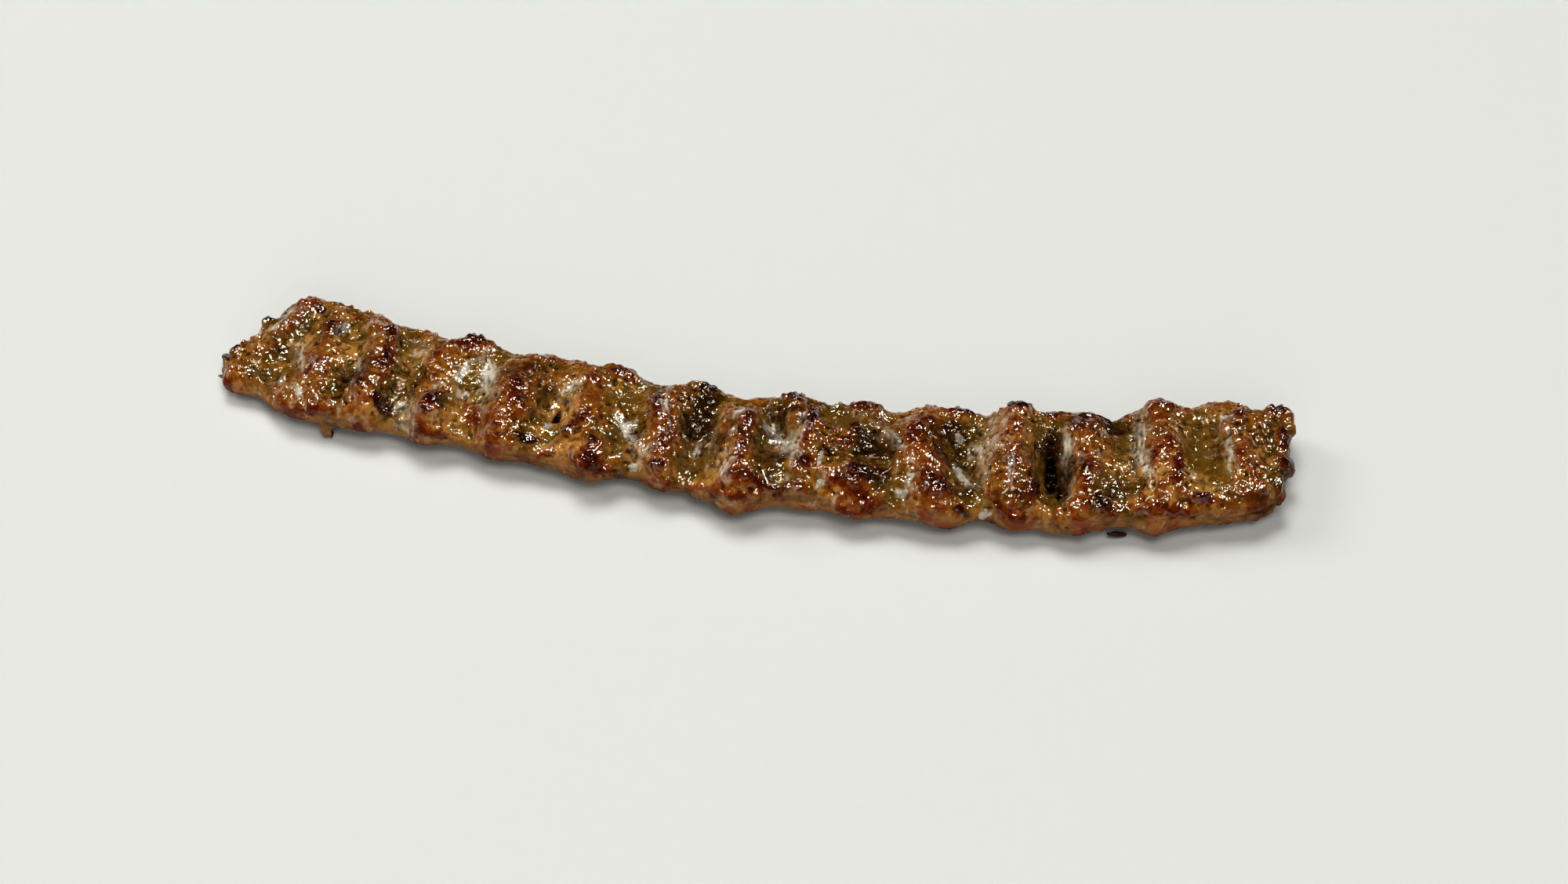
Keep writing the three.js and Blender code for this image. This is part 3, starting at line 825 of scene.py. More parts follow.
class Strands:
    """Thin strands that follow the top of a piece, gathered to be made as one mesh."""

    # A strand has so many rings of so many points, and is sunk by this share of its width.
    POINTS = 5
    SIDES = 5
    SUNK = 0.2
    # From ring to ring its height changes by less than this, times the way between them in plan.
    STEEPEST = 1.6
    # Each tip reaches past its last ring by this share of the way between rings.
    TIP = 0.4

    def __init__(self, ground, rng):
        self.tree = BVHTree.FromObject(ground, bpy.context.evaluated_depsgraph_get())
        self.rng = rng
        self.paths, self.normals, self.widths = [], [], []

    def add(self, x, y, heading, long, wide, wander=0.12):
        """Adds a strand whose middle is over x and y, if all of it lies on the top with no sharp step."""
        step = long / (self.POINTS - 1)
        x -= math.cos(heading) * long / 2
        y -= math.sin(heading) * long / 2
        path, normals = [], []
        for _ in range(self.POINTS):
            place, normal = find_top(self.tree, x, y)
            if place is None or normal.z < TOP_RISE:
                return
            path.append(place - normal * wide * self.SUNK)
            normals.append(normal)
            heading += self.rng.normal(0, wander)
            x += step * math.cos(heading)
            y += step * math.sin(heading)
        if max(abs(b.z - a.z) for a, b in zip(path, path[1:])) > step * self.STEEPEST:
            return
        self.paths.append(path)
        self.normals.append(normals)
        self.widths.append(wide)

    def mesh(self, name, flatness):
        """The strands as closed tubes, whose height is the flatness times their width."""
        paths, normals = np.array(self.paths), np.array(self.normals)
        count, points, sides = len(paths), self.POINTS, self.SIDES
        normals = normals + normals.mean(axis=1, keepdims=True)
        normals /= np.linalg.norm(normals, axis=2, keepdims=True)
        along = np.gradient(paths, axis=1)
        across = np.cross(normals, along)
        across /= np.linalg.norm(across, axis=2, keepdims=True)
        taper = np.sqrt(np.sin(np.pi * (np.arange(points) + 0.5) / points))
        radius = np.array(self.widths)[:, None] / 2 * taper
        turns = 2 * np.pi * np.arange(sides) / sides
        rings = paths[:, :, None]
        rings = rings + across[:, :, None] * (radius[..., None] * np.cos(turns))[..., None]
        rings = rings + normals[:, :, None] * (radius[..., None] * np.sin(turns) * flatness)[..., None]
        ahead = self.TIP * along
        tips = np.stack([paths[:, 0] - ahead[:, 0], paths[:, -1] + ahead[:, -1]], axis=1)
        vertices = np.concatenate([rings.reshape(count, -1, 3), tips], axis=1)
        faces = []
        for ring in range(points - 1):
            for side in range(sides):
                a, b = ring * sides + side, ring * sides + (side + 1) % sides
                faces.append((a, b, b + sides))
                faces.append((a, b + sides, a + sides))
        for side in range(sides):
            a, b = side, (side + 1) % sides
            last = (points - 1) * sides
            faces.append((b, a, points * sides))
            faces.append((last + a, last + b, points * sides + 1))
        starts = np.arange(count)[:, None, None] * vertices.shape[1]
        faces = (np.array(faces)[None] + starts).reshape(-1, 3)
        strands = new_object(name, vertices.reshape(-1, 3), faces)
        set_attribute(strands.data, "shade", np.repeat(self.rng.random(count), vertices.shape[1]))
        edit_all(strands, face_outwards)
        return strands


def fused_lumps(skin, name, count, long, wide, sunk, rng, weight):
    """Balls of mince of many sizes, sunk in the skin by a share of their half height."""
    ball = unit_ball(subdivisions=2)
    roughen(ball, size=0.9, strength=0.8)
    points, normals = surface_points(skin.data, count, rng, weight)
    frames = turned_frames(normals, rng, LEAN)
    spread = rng.lognormal(0.0, SIZE_SPREAD, (count, 1))
    sizes = np.array([long, wide, wide]) / 2 * spread * rng.uniform(0.75, 1.25, (count, 3))
    places = points - normals * sizes[:, 2:] * rng.uniform(*sunk, (count, 1))
    lumps = joined_copies(name, ball, places, frames, sizes)
    remove(ball)
    return lumps, places


def bell(distance, reach):
    """1 at no distance, falling off smoothly to almost 0 at twice the reach."""
    return np.exp(-((distance / reach) ** 2))


def lip_share(places, below=0.0, reach=0.9):
    """How near each place is to the crust's wavy, broken lip along the front, or to so far below it."""
    station, offset = on_strip(places)
    wave = LIP_HEIGHT + 1.1 * np.sin(station / 7.0) + 0.8 * np.sin(station / 3.1 + 1.0)
    breaks = smoothstep(np.sin(station / 5.3 + 2.0) + 0.6 * np.sin(station / 2.3), -0.6, 0.5)
    return smoothstep(-offset, *FRONT_EDGE) * breaks * bell(places[:, 2] / MM - wave + below, reach)


def front_lip(places, normals):
    """Raises the lip along the front over the smoother flank, and splits the flank by the blunt end."""
    station, offset = on_strip(places)
    front = smoothstep(-offset, *FRONT_EDGE)
    cleft = front * smoothstep(station, *CLEFT_OPENS) * bell(places[:, 2] / MM - CLEFT_HEIGHT, 0.8)
    lobes = sum(bell(station - lobe, LOBE_REACH) for lobe in FRONT_LOBES) - 0.55
    lobes *= front * (0.7 + 0.7 * smoothstep(-station, 10, 50))
    push = lobes + 0.6 * lip_share(places) - 0.3 * lip_share(places, below=2.0, reach=1.2) - 1.2 * cleft
    side = normals * np.array([1.0, 1.0, 0.3])
    return places + side * (push * MM)[:, None]


def smooth_in_part(obj, rounds):
    """Smooths the valleys and the flanks, and leaves the ridges and the crust as they are."""
    places, normals = coordinates(obj.data), vertex_normals(obj.data)
    station, offset = on_strip(places)
    level = Smoother(obj.data).smoothed(normals[:, 2], LEVEL_ROUNDS)
    share = smoothstep(-ridge_height(places, normals), -0.3, 0.9) + 1.0 - smoothstep(level, 0.3, 0.7)
    share -= painted(CRUST_BANDS, station, offset) + painted(CHAR_SPOTS, station, offset)
    tenths = np.clip(np.rint(share * 10), 0, 10)
    group = obj.vertex_groups.new(name="smooth")
    for tenth in range(1, 11):
        group.add(np.flatnonzero(tenths == tenth).tolist(), tenth / 10, "REPLACE")
    apply_modifier(obj, "SMOOTH", factor=0.5, iterations=rounds, vertex_group="smooth")
    obj.vertex_groups.clear()


def granule_tones(places, centres, rng):
    """A random value from 0 to 1 for each granule, taken by every point that is nearest to it."""
    tree = KDTree(len(centres))
    for index, centre in enumerate(centres):
        tree.insert(centre, index)
    tree.balance()
    tones = rng.random(len(centres))
    return tones[[tree.find(place)[1] for place in places]]


def paint_skin(obj, centres, rng):
    """Gives each point of the skin what its colour depends on."""
    mesh = obj.data
    places, normals = coordinates(mesh), vertex_normals(mesh)
    station, offset = on_strip(places)
    skin = Smoother(mesh)
    ridge = ridge_height(places, normals)
    top = smoothstep(normals[:, 2], -0.35, 0.25)
    values = {
        "crease": skin.rise(places, normals, CREASE_ROUNDS) / (0.16 * MM),
        "knob": skin.rise(places, normals, KNOB_ROUNDS) / (0.5 * MM),
        "crest": ridge / 1.2,
        "valley": smoothstep(-ridge, -0.2, 0.9),
        "side": 1.0 - smoothstep(skin.smoothed(normals[:, 2], SIDE_ROUNDS), 0.1, 0.65),
        # The slope is how much the top faces left, towards the window light; it paints a sheen there.
        "slope": skin.smoothed(-normals[:, 0], SLOPE_ROUNDS) * top,
        "lip": lip_share(places, reach=1.4),
        "tone": granule_tones(places, centres, rng),
    }
    for name, (rows, _) in SPOTS.items():
        values[name] = painted(rows, station, offset, STREAK_LINES if name == "fat" else 0.0) * top
    for name, value in values.items():
        set_attribute(mesh, name, value)


class Paint:
    """One material's node tree. Each method adds nodes and returns the socket that they end in.

    What a method is given is a socket, a number, or the name of one of the colours.
    """

    def __init__(self, name, colours):
        self.material = bpy.data.materials.new(name)
        self.material.use_nodes = True
        self.tree = self.material.node_tree
        self.shader = self.tree.nodes["Principled BSDF"]
        self.place = self.tree.nodes.new("ShaderNodeTexCoord").outputs["Object"]
        self.colours = colours

    def put(self, socket, value):
        if isinstance(value, bpy.types.NodeSocket):
            self.tree.links.new(value, socket)
        elif isinstance(value, str):
            socket.default_value = (*getattr(self.colours, value), 1.0)
        else:
            socket.default_value = value

    def attribute(self, name):
        node = self.tree.nodes.new("ShaderNodeAttribute")
        node.attribute_name = name
        return node.outputs["Fac"]

    def stretched(self, scale):
        node = self.tree.nodes.new("ShaderNodeMapping")
        node.inputs["Scale"].default_value = scale
        self.put(node.inputs["Vector"], self.place)
        return node.outputs["Vector"]

    def noise(self, size, detail=2.0, roughness=0.5, distortion=0.0, stretch=None):
        """Noise whose lumps are about this many metres across."""
        node = self.tree.nodes.new("ShaderNodeTexNoise")
        self.put(node.inputs["Vector"], self.stretched(stretch) if stretch else self.place)
        node.inputs["Scale"].default_value = 0.5 / size
        node.inputs["Detail"].default_value = detail
        node.inputs["Roughness"].default_value = roughness
        node.inputs["Distortion"].default_value = distortion
        return node.outputs["Fac"]

    def step(self, value, low, high, start=0.0, end=1.0):
        """Start where a value is low, end where it is high, and a smooth change between them."""
        node = self.tree.nodes.new("ShaderNodeMapRange")
        node.interpolation_type = "SMOOTHSTEP"
        names = ("Value", "From Min", "From Max", "To Min", "To Max")
        for name, given in zip(names, (value, low, high, start, end)):
            self.put(node.inputs[name], given)
        return node.outputs["Result"]

    def calculate(self, operation, *values):
        node = self.tree.nodes.new("ShaderNodeMath")
        node.operation = operation
        for socket, value in zip(node.inputs, values):
            self.put(socket, value)
        return node.outputs[0]

    def sum(self, *terms):
        """A weighted sum of pairs of a value and its weight."""
        total = 0.0
        for value, weight in terms:
            total = self.calculate("MULTIPLY_ADD", value, weight, total)
        return total

    def times(self, a, b):
        return self.calculate("MULTIPLY", a, b)

    def mix(self, first, second, share, blend="MIX"):
        node = self.tree.nodes.new("ShaderNodeMix")
        node.data_type = "RGBA"
        node.blend_type = blend
        for index, value in ((0, share), (6, first), (7, second)):
            self.put(node.inputs[index], value)
        return node.outputs[2]

    def lay(self, base, over, value, low, high, most=1.0, blend="MIX"):
        """Lays a colour over the base: none of it where a value is low, the most where it is high."""
        return self.mix(base, over, self.step(value, low, high, 0.0, most), blend)

    def bump(self, height, distance):
        node = self.tree.nodes.new("ShaderNodeBump")
        node.inputs["Distance"].default_value = distance
        self.put(node.inputs["Height"], height)
        return node.outputs["Normal"]

    def finish(self, **sockets):
        """Sets the shader's sockets, whose names are given with underscores for spaces."""
        for name, value in sockets.items():
            self.put(self.shader.inputs[name.replace("_", " ")], value)
        return self.material


def meat_paint(colours):
    """Browned mince under a film of oil."""
    p = Paint("grilled_meat", colours)
    read = p.attribute
    patches = p.noise(9 * MM, 3.0, 0.6)
    mottle = p.noise(3.0 * MM, 3.0, 0.6, 0.4)
    grain = p.noise(1.0 * MM, 3.0, 0.6)
    speck = p.noise(0.45 * MM, 2.0, 0.7)
    smear = p.noise(0.6 * MM, 1.0, 0.5, 0.5, (1.0, 0.22, 0.5))
    tone, side, crease = read("tone"), read("side"), read("crease")

    # Olive valleys, browned ridges, golden granules and patches that are partly a painted highlight on the
    # front shoulder, paler flanks with painted shade in their folds, and pools of oil.
    high = p.sum((read("crest"), 0.25), (read("knob"), 0.3), (mottle, 1.2), (patches, 1.2), (tone, 0.3))
    base = p.lay("valley", "brown", high, 1.0, 1.6)
    # Golden granules and patches; along the front shoulder these are partly a painted highlight.
    golden_and_lit = p.sum((tone, 0.6), (grain, 0.5), (mottle, 0.8), (read("gold_and_lit"), 0.5))
    base = p.lay(base, "ochre", golden_and_lit, 0.95, 1.55, 0.85)
    base = p.lay(base, "flank", side, 0.3, 0.9, 0.8)
    # Painted shade in folds along the flanks.
    fold_shade = p.step(p.noise(1.5 * MM, 3.0, 0.6, 0.4, (0.3, 1.0, 1.3)), 0.5, 0.36, 0.0, 0.45)
    base = p.mix(base, "shade_and_dark_tone", p.times(fold_shade, side), "MULTIPLY")
    oily = p.sum((read("oil"), 1.0), (mottle, 0.6))
    base = p.lay(base, "oil", oily, 0.45, 1.1, 0.85)

    # Crust, which reddens and darkens with heat, and charred spots.
    marked = p.sum((read("crust"), 0.7), (read("lip"), 0.3), (mottle, 0.85), (grain, 0.25))
    heat = p.sum((marked, 1.0), (tone, -0.4), (read("knob"), 0.15), (read("crest"), 0.08))
    base = p.lay(base, "rust", heat, 0.52, 0.76, 0.85)
    base = p.lay(base, "crust", heat, 0.76, 1.0, 0.95)
    base = p.lay(base, "seared", heat, 1.1, 1.35, 0.9)
    charred = p.sum((read("char"), 0.9), (mottle, 0.4), (grain, 0.4), (tone, 0.2))
    base = p.lay(base, "seared", charred, 0.75, 1.15)
    base = p.lay(base, "char", charred, 1.4, 1.8, 0.5)

    # A thin film of fat here and there, a painted sheen on slopes that face the window light on the left,
    # and milky fat in its streaks.
    film = p.sum((p.noise(2.0 * MM, 4.0, 0.7, 0.8), 0.8), (patches, 0.4), (smear, 0.3))
    fat_film_and_sheen = p.sum((film, 1.0), (read("fat"), 0.35), (read("slope"), 0.2))
    base = p.lay(base, "wisp", fat_film_and_sheen, 0.82, 1.05, 0.6)
    milky = p.sum((read("fat"), 0.8), (smear, 0.9), (film, 0.5))
    base = p.lay(base, "fat", milky, 1.0, 1.6, 0.7)

    # Painted shade in pits, creases, valleys and deep holes, and darker patches of random tone and of the
    # listed dark places.
    pit_shade = p.times(p.step(speck, 0.42, 0.34, 0.0, 0.4), p.step(side, 0.1, 0.8, 1.0, 0.3))
    base = p.mix(base, "shade_and_dark_tone", pit_shade, "MULTIPLY")
    # Broad patches darkened by random tone and by the listed dark places, with a little painted shade in
    # the valleys; golden, lit patches are darkened less.
    bright = p.sum((patches, 1.0), (mottle, 0.5), (read("valley"), -0.06))
    bright = p.sum((bright, 1.0), (read("dusk"), -0.25), (read("gold_and_lit"), 0.1))
    base = p.lay(base, "shade_and_dark_tone", bright, 0.74, 0.42, 0.9, "MULTIPLY")
    # Painted shade in the creases between granules and in the valleys.
    base = p.lay(base, "shade_and_dark_tone", p.sum((crease, 1.0), (read("valley"), 0.5)), 0.0, -1.6, 0.85, "MULTIPLY")
    # Painted shade in the deep holes, laid with the char colour.
    base = p.lay(base, "char", read("hole"), 0.25, 0.9, 1.0, "MULTIPLY")

    # The oil is rippled, and thinner in creases, holes and dark patches and on the flanks.
    wet = p.step(crease, -1.4, -0.1, 0.15, 1.0)
    wet = p.times(wet, p.step(side, 0.3, 1.0, 1.0, 0.35))
    wet = p.times(wet, p.step(read("hole"), 0.1, 0.5, 1.0, 0.1))
    wet = p.times(wet, p.step(read("dusk"), 0.3, 1.3, 1.0, 0.5))
    ripples = p.noise(0.65 * MM, 0.0, 0.5, 0.8, (1.0, 0.7, 0.8))
    return p.finish(
        Base_Color=base,
        Roughness=p.step(grain, 0.3, 0.7, 0.5, 0.65),
        Specular_IOR_Level=0.0,
        Normal=p.bump(p.sum((grain, 0.6), (speck, 0.2)), 0.5 * MM),
        Coat_Normal=p.bump(p.sum((ripples, 1.0), (smear, 0.25)), 0.45 * MM),
        Coat_Weight=wet,
        Coat_Roughness=0.03,
        Coat_IOR=1.7,
        Subsurface_Weight=0.1,
        Subsurface_Radius=(1.0, 0.4, 0.2),
        Subsurface_Scale=1.0 * MM,
    )


def dressed(obj, material):
    """Finishes a piece: its material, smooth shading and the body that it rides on."""
    obj.data.materials.append(material)
    select_only(obj)
    bpy.ops.object.shade_smooth()
    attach(obj, "root")
    return obj


def deepened(places, normals, shape):
    """The places of the solid's skin, with its ridges and knobs raised and its valleys and pools sunk."""
    _, offset = on_strip(places)
    height = np.maximum(ridge_height(places, normals), -DEEPEST_VALLEY)
    gain = 1.0 + shape.thin_end_gain * smoothstep(-places[:, 0], *THIN_END)
    gain *= 1.0 - 0.7 * smoothstep(offset, *BACK_FADE) - 0.5 * smoothstep(-offset, *FRONT_FADE)
    gain *= smoothstep(HALF_SPAN * MM - np.abs(places[:, 0]), *END_FADE)
    raised = relief(places) + gain * shape.ridge_gain * np.maximum(height, 0)
    raised += gain * shape.valley_gain * np.minimum(height, 0)
    raised += VALLEY_FILL * smoothstep(-height, -0.2, 0.7)
    top = smoothstep(normals[:, 2], 0.0, 0.6)
    return places + normals * (raised * top * MM)[:, None]


class KEBAB_OT_meat(bpy.types.Operator):
    """Makes the strip of grilled mince"""

    bl_idname = "kebab.meat"
    bl_label = "Meat"

    def execute(self, context):
        shape = context.scene.kebab_shape
        rng = np.random.default_rng(shape.seed)
        meat = merged_copy(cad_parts["kebab"], "meat")
        apply_modifier(meat, "SUBSURF", levels=1, render_levels=1)
        places = deepened(coordinates(meat.data), vertex_normals(meat.data), shape)
        set_coordinates(meat.data, places)
        apply_modifier(meat, "DISPLACE", strength=-ROOM_FOR_GRANULES, mid_level=0.0)
        sizes = shape.granules, shape.granule_length, shape.granule_width
        granules, centres = fused_lumps(meat, "granules", *sizes, GRANULES_SUNK, rng, granule_weight)
        sizes = shape.clots, shape.clot_length, shape.clot_width
        clots, _ = fused_lumps(meat, "clots", *sizes, CLOTS_SUNK, rng, clot_weight)
        join(meat, granules, clots)
        apply_modifier(meat, "REMESH", mode="VOXEL", voxel_size=shape.voxel)
        apply_modifier(meat, "SMOOTH", factor=0.5, iterations=2)
        smooth_in_part(meat, PART_ROUNDS)
        for lump, push in SKIN_LUMPS:
            roughen(meat, lump, push)
        places = front_lip(coordinates(meat.data), vertex_normals(meat.data))
        places[:, 2] = np.maximum(places[:, 2], 0.0)
        set_coordinates(meat.data, places)
        thin_out(meat, MOST_MEAT_TRIANGLES)
        paint_skin(meat, centres, rng)
        dressed(meat, meat_paint(context.scene.kebab_colours))
        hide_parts("kebab")
        return {"FINISHED"}


def fat_paint(colours):
    """Milky fat, wet with oil and a little see-through."""
    p = Paint("set_fat", colours)
    grain = p.noise(1.2 * MM, 2.0, 0.6)
    shade = p.sum((p.attribute("shade"), 0.8), (grain, 0.6))
    return p.finish(
        Base_Color=p.lay("wisp", "fat", shade, 0.4, 1.0),
        Roughness=0.5,
        Specular_IOR_Level=0.1,
        Coat_Weight=0.8,
        Coat_Roughness=0.05,
        Normal=p.bump(grain, 0.1 * MM),
        Alpha=0.45,
        Subsurface_Weight=0.3,
        Subsurface_Radius=(1.0, 0.7, 0.5),
        Subsurface_Scale=0.8 * MM,
    )


def shred_paint(colours):
    """Loose shreds of browned meat."""
    p = Paint("meat_shreds", colours)
    grain = p.noise(0.9 * MM, 2.0, 0.6)
    shade = p.sum((p.attribute("shade"), 1.0), (grain, 0.4))
    return p.finish(
        Base_Color=p.lay(p.lay("brown", "wisp", shade, 0.7, 1.1), "crust", shade, 0.6, 0.3),
        Roughness=0.55,
        Specular_IOR_Level=0.1,
        Coat_Weight=0.8,
        Coat_Roughness=0.05,
        Normal=p.bump(grain, 0.1 * MM),
    )


def char_paint(colours):
    """Blackened meat with a dull sheen."""
    p = Paint("charred_meat", colours)
    grain = p.noise(0.8 * MM, 3.0, 0.6)
    return p.finish(
        Base_Color=p.lay("char", "seared", grain, 0.5, 0.75),
        Roughness=p.step(grain, 0.3, 0.7, 0.4, 0.6),
        Specular_IOR_Level=0.2,
        Coat_Weight=0.4,
        Coat_Roughness=0.1,
        Normal=p.bump(grain, 0.2 * MM),
    )


class KEBAB_OT_shreds(bpy.types.Operator):
    """Strews loose shreds of meat over the top"""

    bl_idname = "kebab.shreds"
    bl_label = "Shreds"

    def execute(self, context):
        bits = context.scene.kebab_bits
        rng = np.random.default_rng(context.scene.kebab_shape.seed + 1)
        meat = bpy.data.objects["meat"]
        strands = Strands(meat, rng)
        points, _ = surface_points(meat.data, bits.shreds, rng, clot_weight)
        for x, y, _ in points:
            long = bits.shred_length * rng.lognormal(0, SHRED_SPREADS[0])
            heading = rng.uniform(0, 2 * math.pi)
            strands.add(x, y, heading, long, bits.shred_width * rng.lognormal(0, SHRED_SPREADS[1]))
        shreds = strands.mesh("shreds", SHRED_FLATNESS)
        dressed(shreds, shred_paint(context.scene.kebab_colours))
        return {"FINISHED"}


class KEBAB_OT_fat(bpy.types.Operator):
    """Lays wisps and blobs of milky fat in the streaks"""

    bl_idname = "kebab.fat"
    bl_label = "Fat"

    def execute(self, context):
        bits = context.scene.kebab_bits
        rng = np.random.default_rng(context.scene.kebab_shape.seed + 2)
        strands = Strands(bpy.data.objects["meat"], rng)
        for station, offset, along, across, turn, strength in FAT_STREAKS:
            tilt = math.radians(turn)
            for _ in range(int(bits.wisps * along * across * strength) + 2):
                u, w = rng.normal(0, along * WISP_SCATTER[0]), rng.normal(0, across * WISP_SCATTER[1])
                x, y, strip_turn = in_plan(*beside(station, offset, tilt, u, w))
                heading = strip_turn + tilt + rng.normal(0, WISP_TURN)
                long = bits.wisp_length * rng.lognormal(0, WISP_SPREAD)
                wide = bits.wisp_width * rng.lognormal(0, WISP_SPREAD)
                strands.add(x, y, heading, long, wide)
        fat = strands.mesh("fat", WISP_FLATNESS)
        places, frames, sizes = [], [], []
        for station, offset, long, wide, turn in FAT_BLOBS:
            x, y, strip_turn = in_plan(station, offset)
            place, normal = find_top(strands.tree, x, y)
            heading = strip_turn + math.radians(turn)
            ahead = Vector((math.cos(heading), math.sin(heading), 0))
            ahead = (ahead - normal * ahead.dot(normal)).normalized()
            places.append(place - normal * wide * BLOB_SUNK * MM)
            frames.append(np.array([ahead, normal.cross(ahead), normal]).T)
            sizes.append((long * MM / 2, wide * MM / 2, wide * MM / 5))
        blobs = rough_balls("blobs", places, frames, sizes, lump=1.2 * MM, strength=1.6 * MM)
        set_attribute(blobs.data, "shade", np.full(len(blobs.data.vertices), 0.5))
        join(fat, blobs)
        edit_all(fat, face_outwards)
        dressed(fat, fat_paint(context.scene.kebab_colours))
        return {"FINISHED"}


def oil_paint(colours):
    """Clear golden oil, which lets half of the meat's colour through."""
    p = Paint("golden_oil", colours)
    return p.finish(
        Base_Color="oil",
        Roughness=0.4,
        Specular_IOR_Level=0.1,
        Coat_Weight=0.7,
        Coat_Roughness=0.04,
        Coat_Normal=p.bump(p.noise(0.5 * MM, 0.0), 0.45 * MM),
        Alpha=0.5,
    )


def pool_mesh(tree, station, offset, along, across, turn):
    """A pool of oil as a closed lens, level with the meat under it, that bumps of meat break through."""
    spots = [(0.0, 0.0, 0.0)]
    for ring in range(1, POOL_RINGS + 1):
        share = ring / POOL_RINGS
        for angle in 2 * math.pi * np.arange(POOL_SIDES) / POOL_SIDES:
            wobble = 1 + 0.12 * math.sin(3 * angle + station) + 0.08 * math.sin(5 * angle + offset)
            reach = share * wobble
            spots.append((along * reach * math.cos(angle), across * reach * math.sin(angle), share))
    places = []
    for u, w, _ in spots:
        x, y, _ = in_plan(*beside(station, offset, math.radians(turn), u, w))
        hit, _ = find_top(tree, x, y)
        if hit is None:
            raise RuntimeError(f"The oil pool at station {station} hangs over an edge")
        places.append((x, y, hit.z))
    places = np.array(places)
    x, y = (places[:, :2] - places[0, :2]).T / MM
    terms = np.stack([np.ones(len(x)), x, y, x * x, x * y, y * y], axis=1)
    fit, *_ = np.linalg.lstsq(terms, places[:, 2], rcond=None)
    share = np.array([spot[2] for spot in spots])
    level = terms @ fit + (POOL_RISE - RIM_DROP * share**6) * MM
    upper = np.column_stack([places[:, :2], level])
    lower = np.column_stack([places[:, :2], level - POOL_THICKNESS])
    count = len(upper)
    faces = []
    for side in range(POOL_SIDES):
        after = (side + 1) % POOL_SIDES
        faces.append((0, 1 + side, 1 + after))
        faces.append((count, count + 1 + after, count + 1 + side))
        for ring in range(POOL_RINGS - 1):
            a, b = 1 + ring * POOL_SIDES + side, 1 + ring * POOL_SIDES + after
            c, d = a + POOL_SIDES, b + POOL_SIDES
            faces += [(a, c, d), (a, d, b)]
            faces += [(count + a, count + d, count + c), (count + a, count + b, count + d)]
        a, b = count - POOL_SIDES + side, count - POOL_SIDES + after
        faces += [(a, count + a, count + b), (a, count + b, b)]
    return np.concatenate([upper, lower]), np.array(faces)


class KEBAB_OT_oil(bpy.types.Operator):
    """Fills the hollows with golden oil and sets beads of it on the top"""

    bl_idname = "kebab.oil"
    bl_label = "Oil"

    def execute(self, context):
        bits = context.scene.kebab_bits
        rng = np.random.default_rng(context.scene.kebab_shape.seed + 3)
        meat = bpy.data.objects["meat"]
        tree = BVHTree.FromObject(meat, context.evaluated_depsgraph_get())
        corners, faces, start = [], [], 0
        for station, offset, along, across, turn, _ in OIL_POOLS:
            if abs(offset) + max(along * abs(math.sin(math.radians(turn))), across) > POOL_LIMIT:
                continue
            pool_corners, pool_faces = pool_mesh(tree, station, offset, along, across, turn)
            corners.append(pool_corners)
            faces.append(pool_faces + start)
            start += len(pool_corners)
        oil = new_object("oil", np.concatenate(corners), np.concatenate(faces))
        ball = unit_ball(subdivisions=1)
        points, normals = surface_points(meat.data, bits.beads, rng, clot_weight)
        sizes = bits.bead_width / 2 * rng.lognormal(0, BEAD_SPREAD, (bits.beads, 1)) * np.array(BEAD_SHAPE)
        frames = turned_frames(normals, rng)
        beads = joined_copies("beads", ball, points, frames, sizes)
        remove(ball)
        join(oil, beads)
        edit_all(oil, face_outwards)
        dressed(oil, oil_paint(context.scene.kebab_colours))
        return {"FINISHED"}


class KEBAB_OT_scraps(bpy.types.Operator):
    """Sets the charred scraps that stick out of the ends and edges"""

    bl_idname = "kebab.scraps"
    bl_label = "Charred scraps"

    def execute(self, context):
        places, frames, sizes = [], [], []
        for station, offset, height, long, wide, thick, turn in CHAR_SCRAPS:
            x, y, strip_turn = in_plan(station, offset)
            places.append((x, y, height * MM))
            frames.append(np.array(Euler((*SCRAP_TILT, strip_turn + math.radians(turn))).to_matrix()))
            sizes.append((long * MM / 2, wide * MM / 2, thick * MM / 2))
        scraps = rough_balls("charred_scraps", places, frames, sizes, lump=1.1 * MM, strength=0.6 * MM)
        edit_all(scraps, face_outwards)
        dressed(scraps, char_paint(context.scene.kebab_colours))
        return {"FINISHED"}


def add_light(name, direction, size, power):
    """Adds a disk of light aimed at the kebab, from a row of LIGHTS."""
    glossy = name.endswith("sparkle")
    place = Vector(direction).normalized() * LIGHT_DISTANCE
    bpy.ops.object.light_add(type="AREA", location=place)
    light = bpy.context.object
    light.name = name
    light.data.shape = "DISK"
    light.data.size = size * LIGHT_DISTANCE
    light.data.energy = power * LIGHT_DISTANCE**2
    light.data.color = SPARKLE_COLOUR if glossy else LIGHT_COLOUR
    light.rotation_euler = (-place).to_track_quat("-Z", "Y").to_euler()
    light.visible_glossy = glossy
    light.visible_diffuse = not glossy


def add_world(scene):
    """Adds a white world that the camera sees and that lights nothing."""
    world = bpy.data.worlds.new("studio")
    scene.world = world
    world.use_nodes = True
    background = world.node_tree.nodes["Background"]
    background.inputs["Color"].default_value = (1.0, 1.0, 1.0, 1.0)
    background.inputs["Strength"].default_value = WORLD_STRENGTH
    for ray in ("diffuse", "glossy", "transmission", "scatter"):
        setattr(world.cycles_visibility, ray, False)


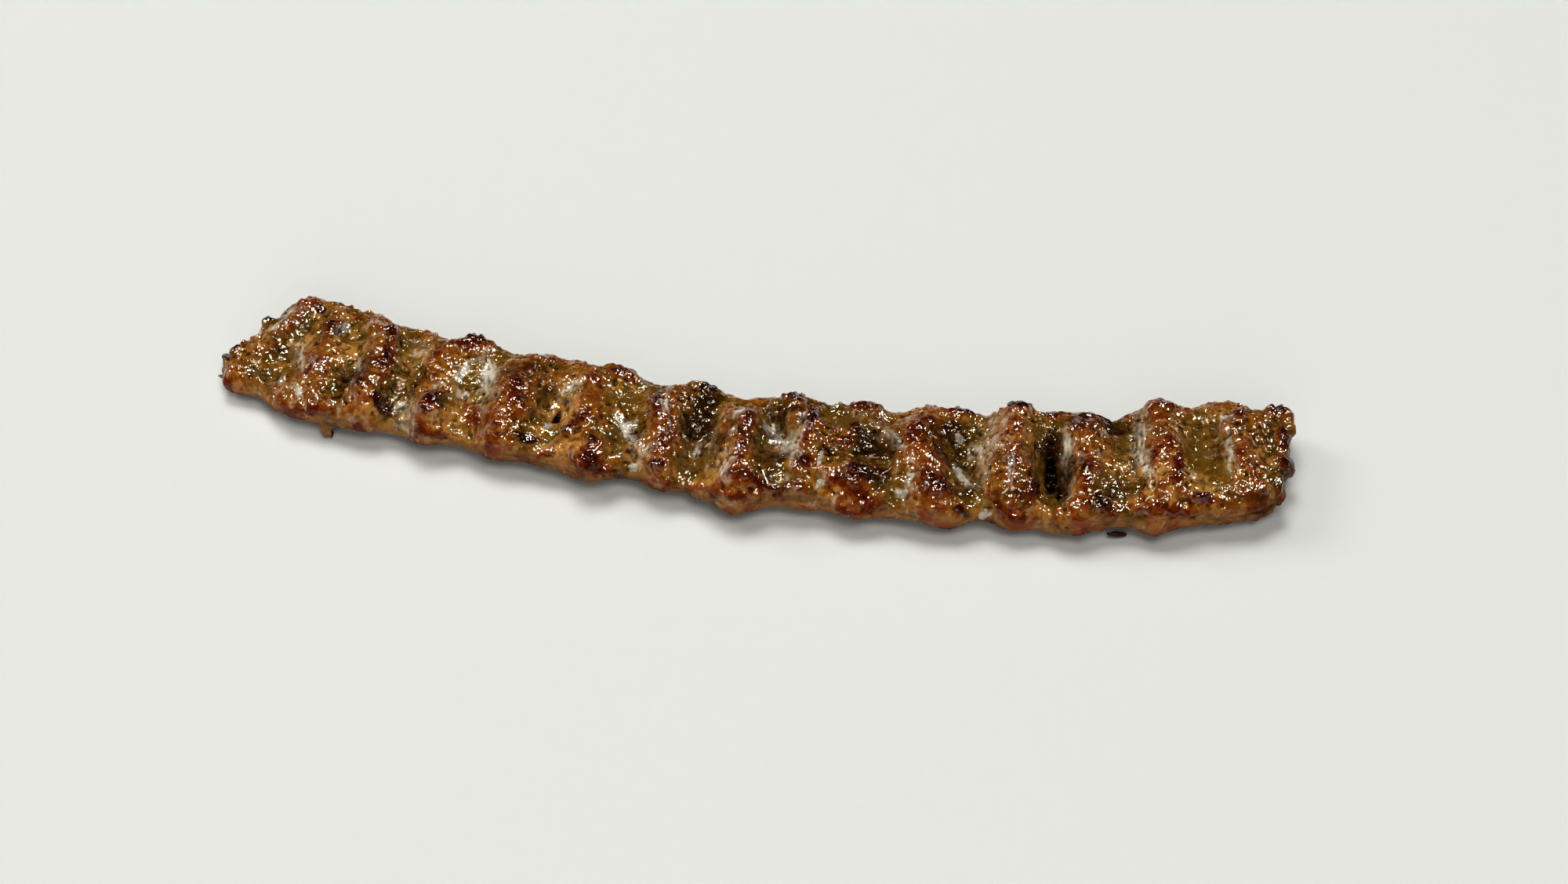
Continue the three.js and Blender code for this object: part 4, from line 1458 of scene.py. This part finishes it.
def add_camera(scene, settings):
    """Adds a camera, set back from its target by the azimuth, elevation and distance."""
    bpy.ops.object.camera_add()
    camera = bpy.context.object
    camera.name = "camera"
    camera.data.lens = settings.lens
    camera.data.sensor_width = SENSOR_WIDTH
    camera.data.clip_start = 0.01
    turn, rise = settings.azimuth, settings.elevation
    back = Vector((math.sin(turn) * math.cos(rise), -math.cos(turn) * math.cos(rise), math.sin(rise)))
    camera.location = Vector(settings.target) + back * settings.distance
    camera.rotation_euler = (-back).to_track_quat("-Z", "Y").to_euler()
    scene.camera = camera


class KEBAB_OT_stage(bpy.types.Operator):
    """Makes the floor, the lights and the camera"""

    bl_idname = "kebab.stage"
    bl_label = "Stage"

    def execute(self, context):
        settings = context.scene.kebab_stage
        bpy.ops.object.select_all(action="DESELECT")
        bpy.ops.mesh.primitive_plane_add(size=FLOOR_SIDE)
        floor = context.object
        floor.name = "floor"
        paint = Paint("pale_floor", settings)
        floor.data.materials.append(paint.finish(Base_Color="floor", Roughness=1.0, Specular_IOR_Level=0.0))
        for light in LIGHTS:
            add_light(*light)
        add_world(context.scene)
        add_camera(context.scene, settings)
        context.scene.view_settings.view_transform = "Standard"
        context.scene.view_settings.gamma = VIEW_GAMMA
        return {"FINISHED"}


class KEBAB_PT_panel(bpy.types.Panel):
    """Lists the steps that make the kebab"""

    bl_label = "Kebab"
    bl_idname = "KEBAB_PT_panel"
    bl_space_type = "VIEW_3D"
    bl_region_type = "UI"
    bl_category = "Kebab"

    def draw(self, context):
        for step in OPERATORS:
            self.layout.operator(step.bl_idname)


GROUPS = {
    "kebab_shape": KebabShape,
    "kebab_bits": KebabBits,
    "kebab_colours": KebabColours,
    "kebab_stage": StageSettings,
}
OPERATORS = (KEBAB_OT_meat, KEBAB_OT_shreds, KEBAB_OT_fat, KEBAB_OT_oil, KEBAB_OT_scraps, KEBAB_OT_stage)
CLASSES = (*GROUPS.values(), *OPERATORS, KEBAB_PT_panel)


def register():
    for cls in CLASSES:
        bpy.utils.register_class(cls)
    for name, group in GROUPS.items():
        setattr(bpy.types.Scene, name, PointerProperty(type=group))


def unregister():
    for name in GROUPS:
        delattr(bpy.types.Scene, name)
    for cls in reversed(CLASSES):
        bpy.utils.unregister_class(cls)


def main():
    register()
    bpy.ops.kebab.meat()
    bpy.ops.kebab.shreds()
    bpy.ops.kebab.fat()
    bpy.ops.kebab.oil()
    bpy.ops.kebab.scraps()
    bpy.ops.kebab.stage()


if __name__ == "__main__":
    main()
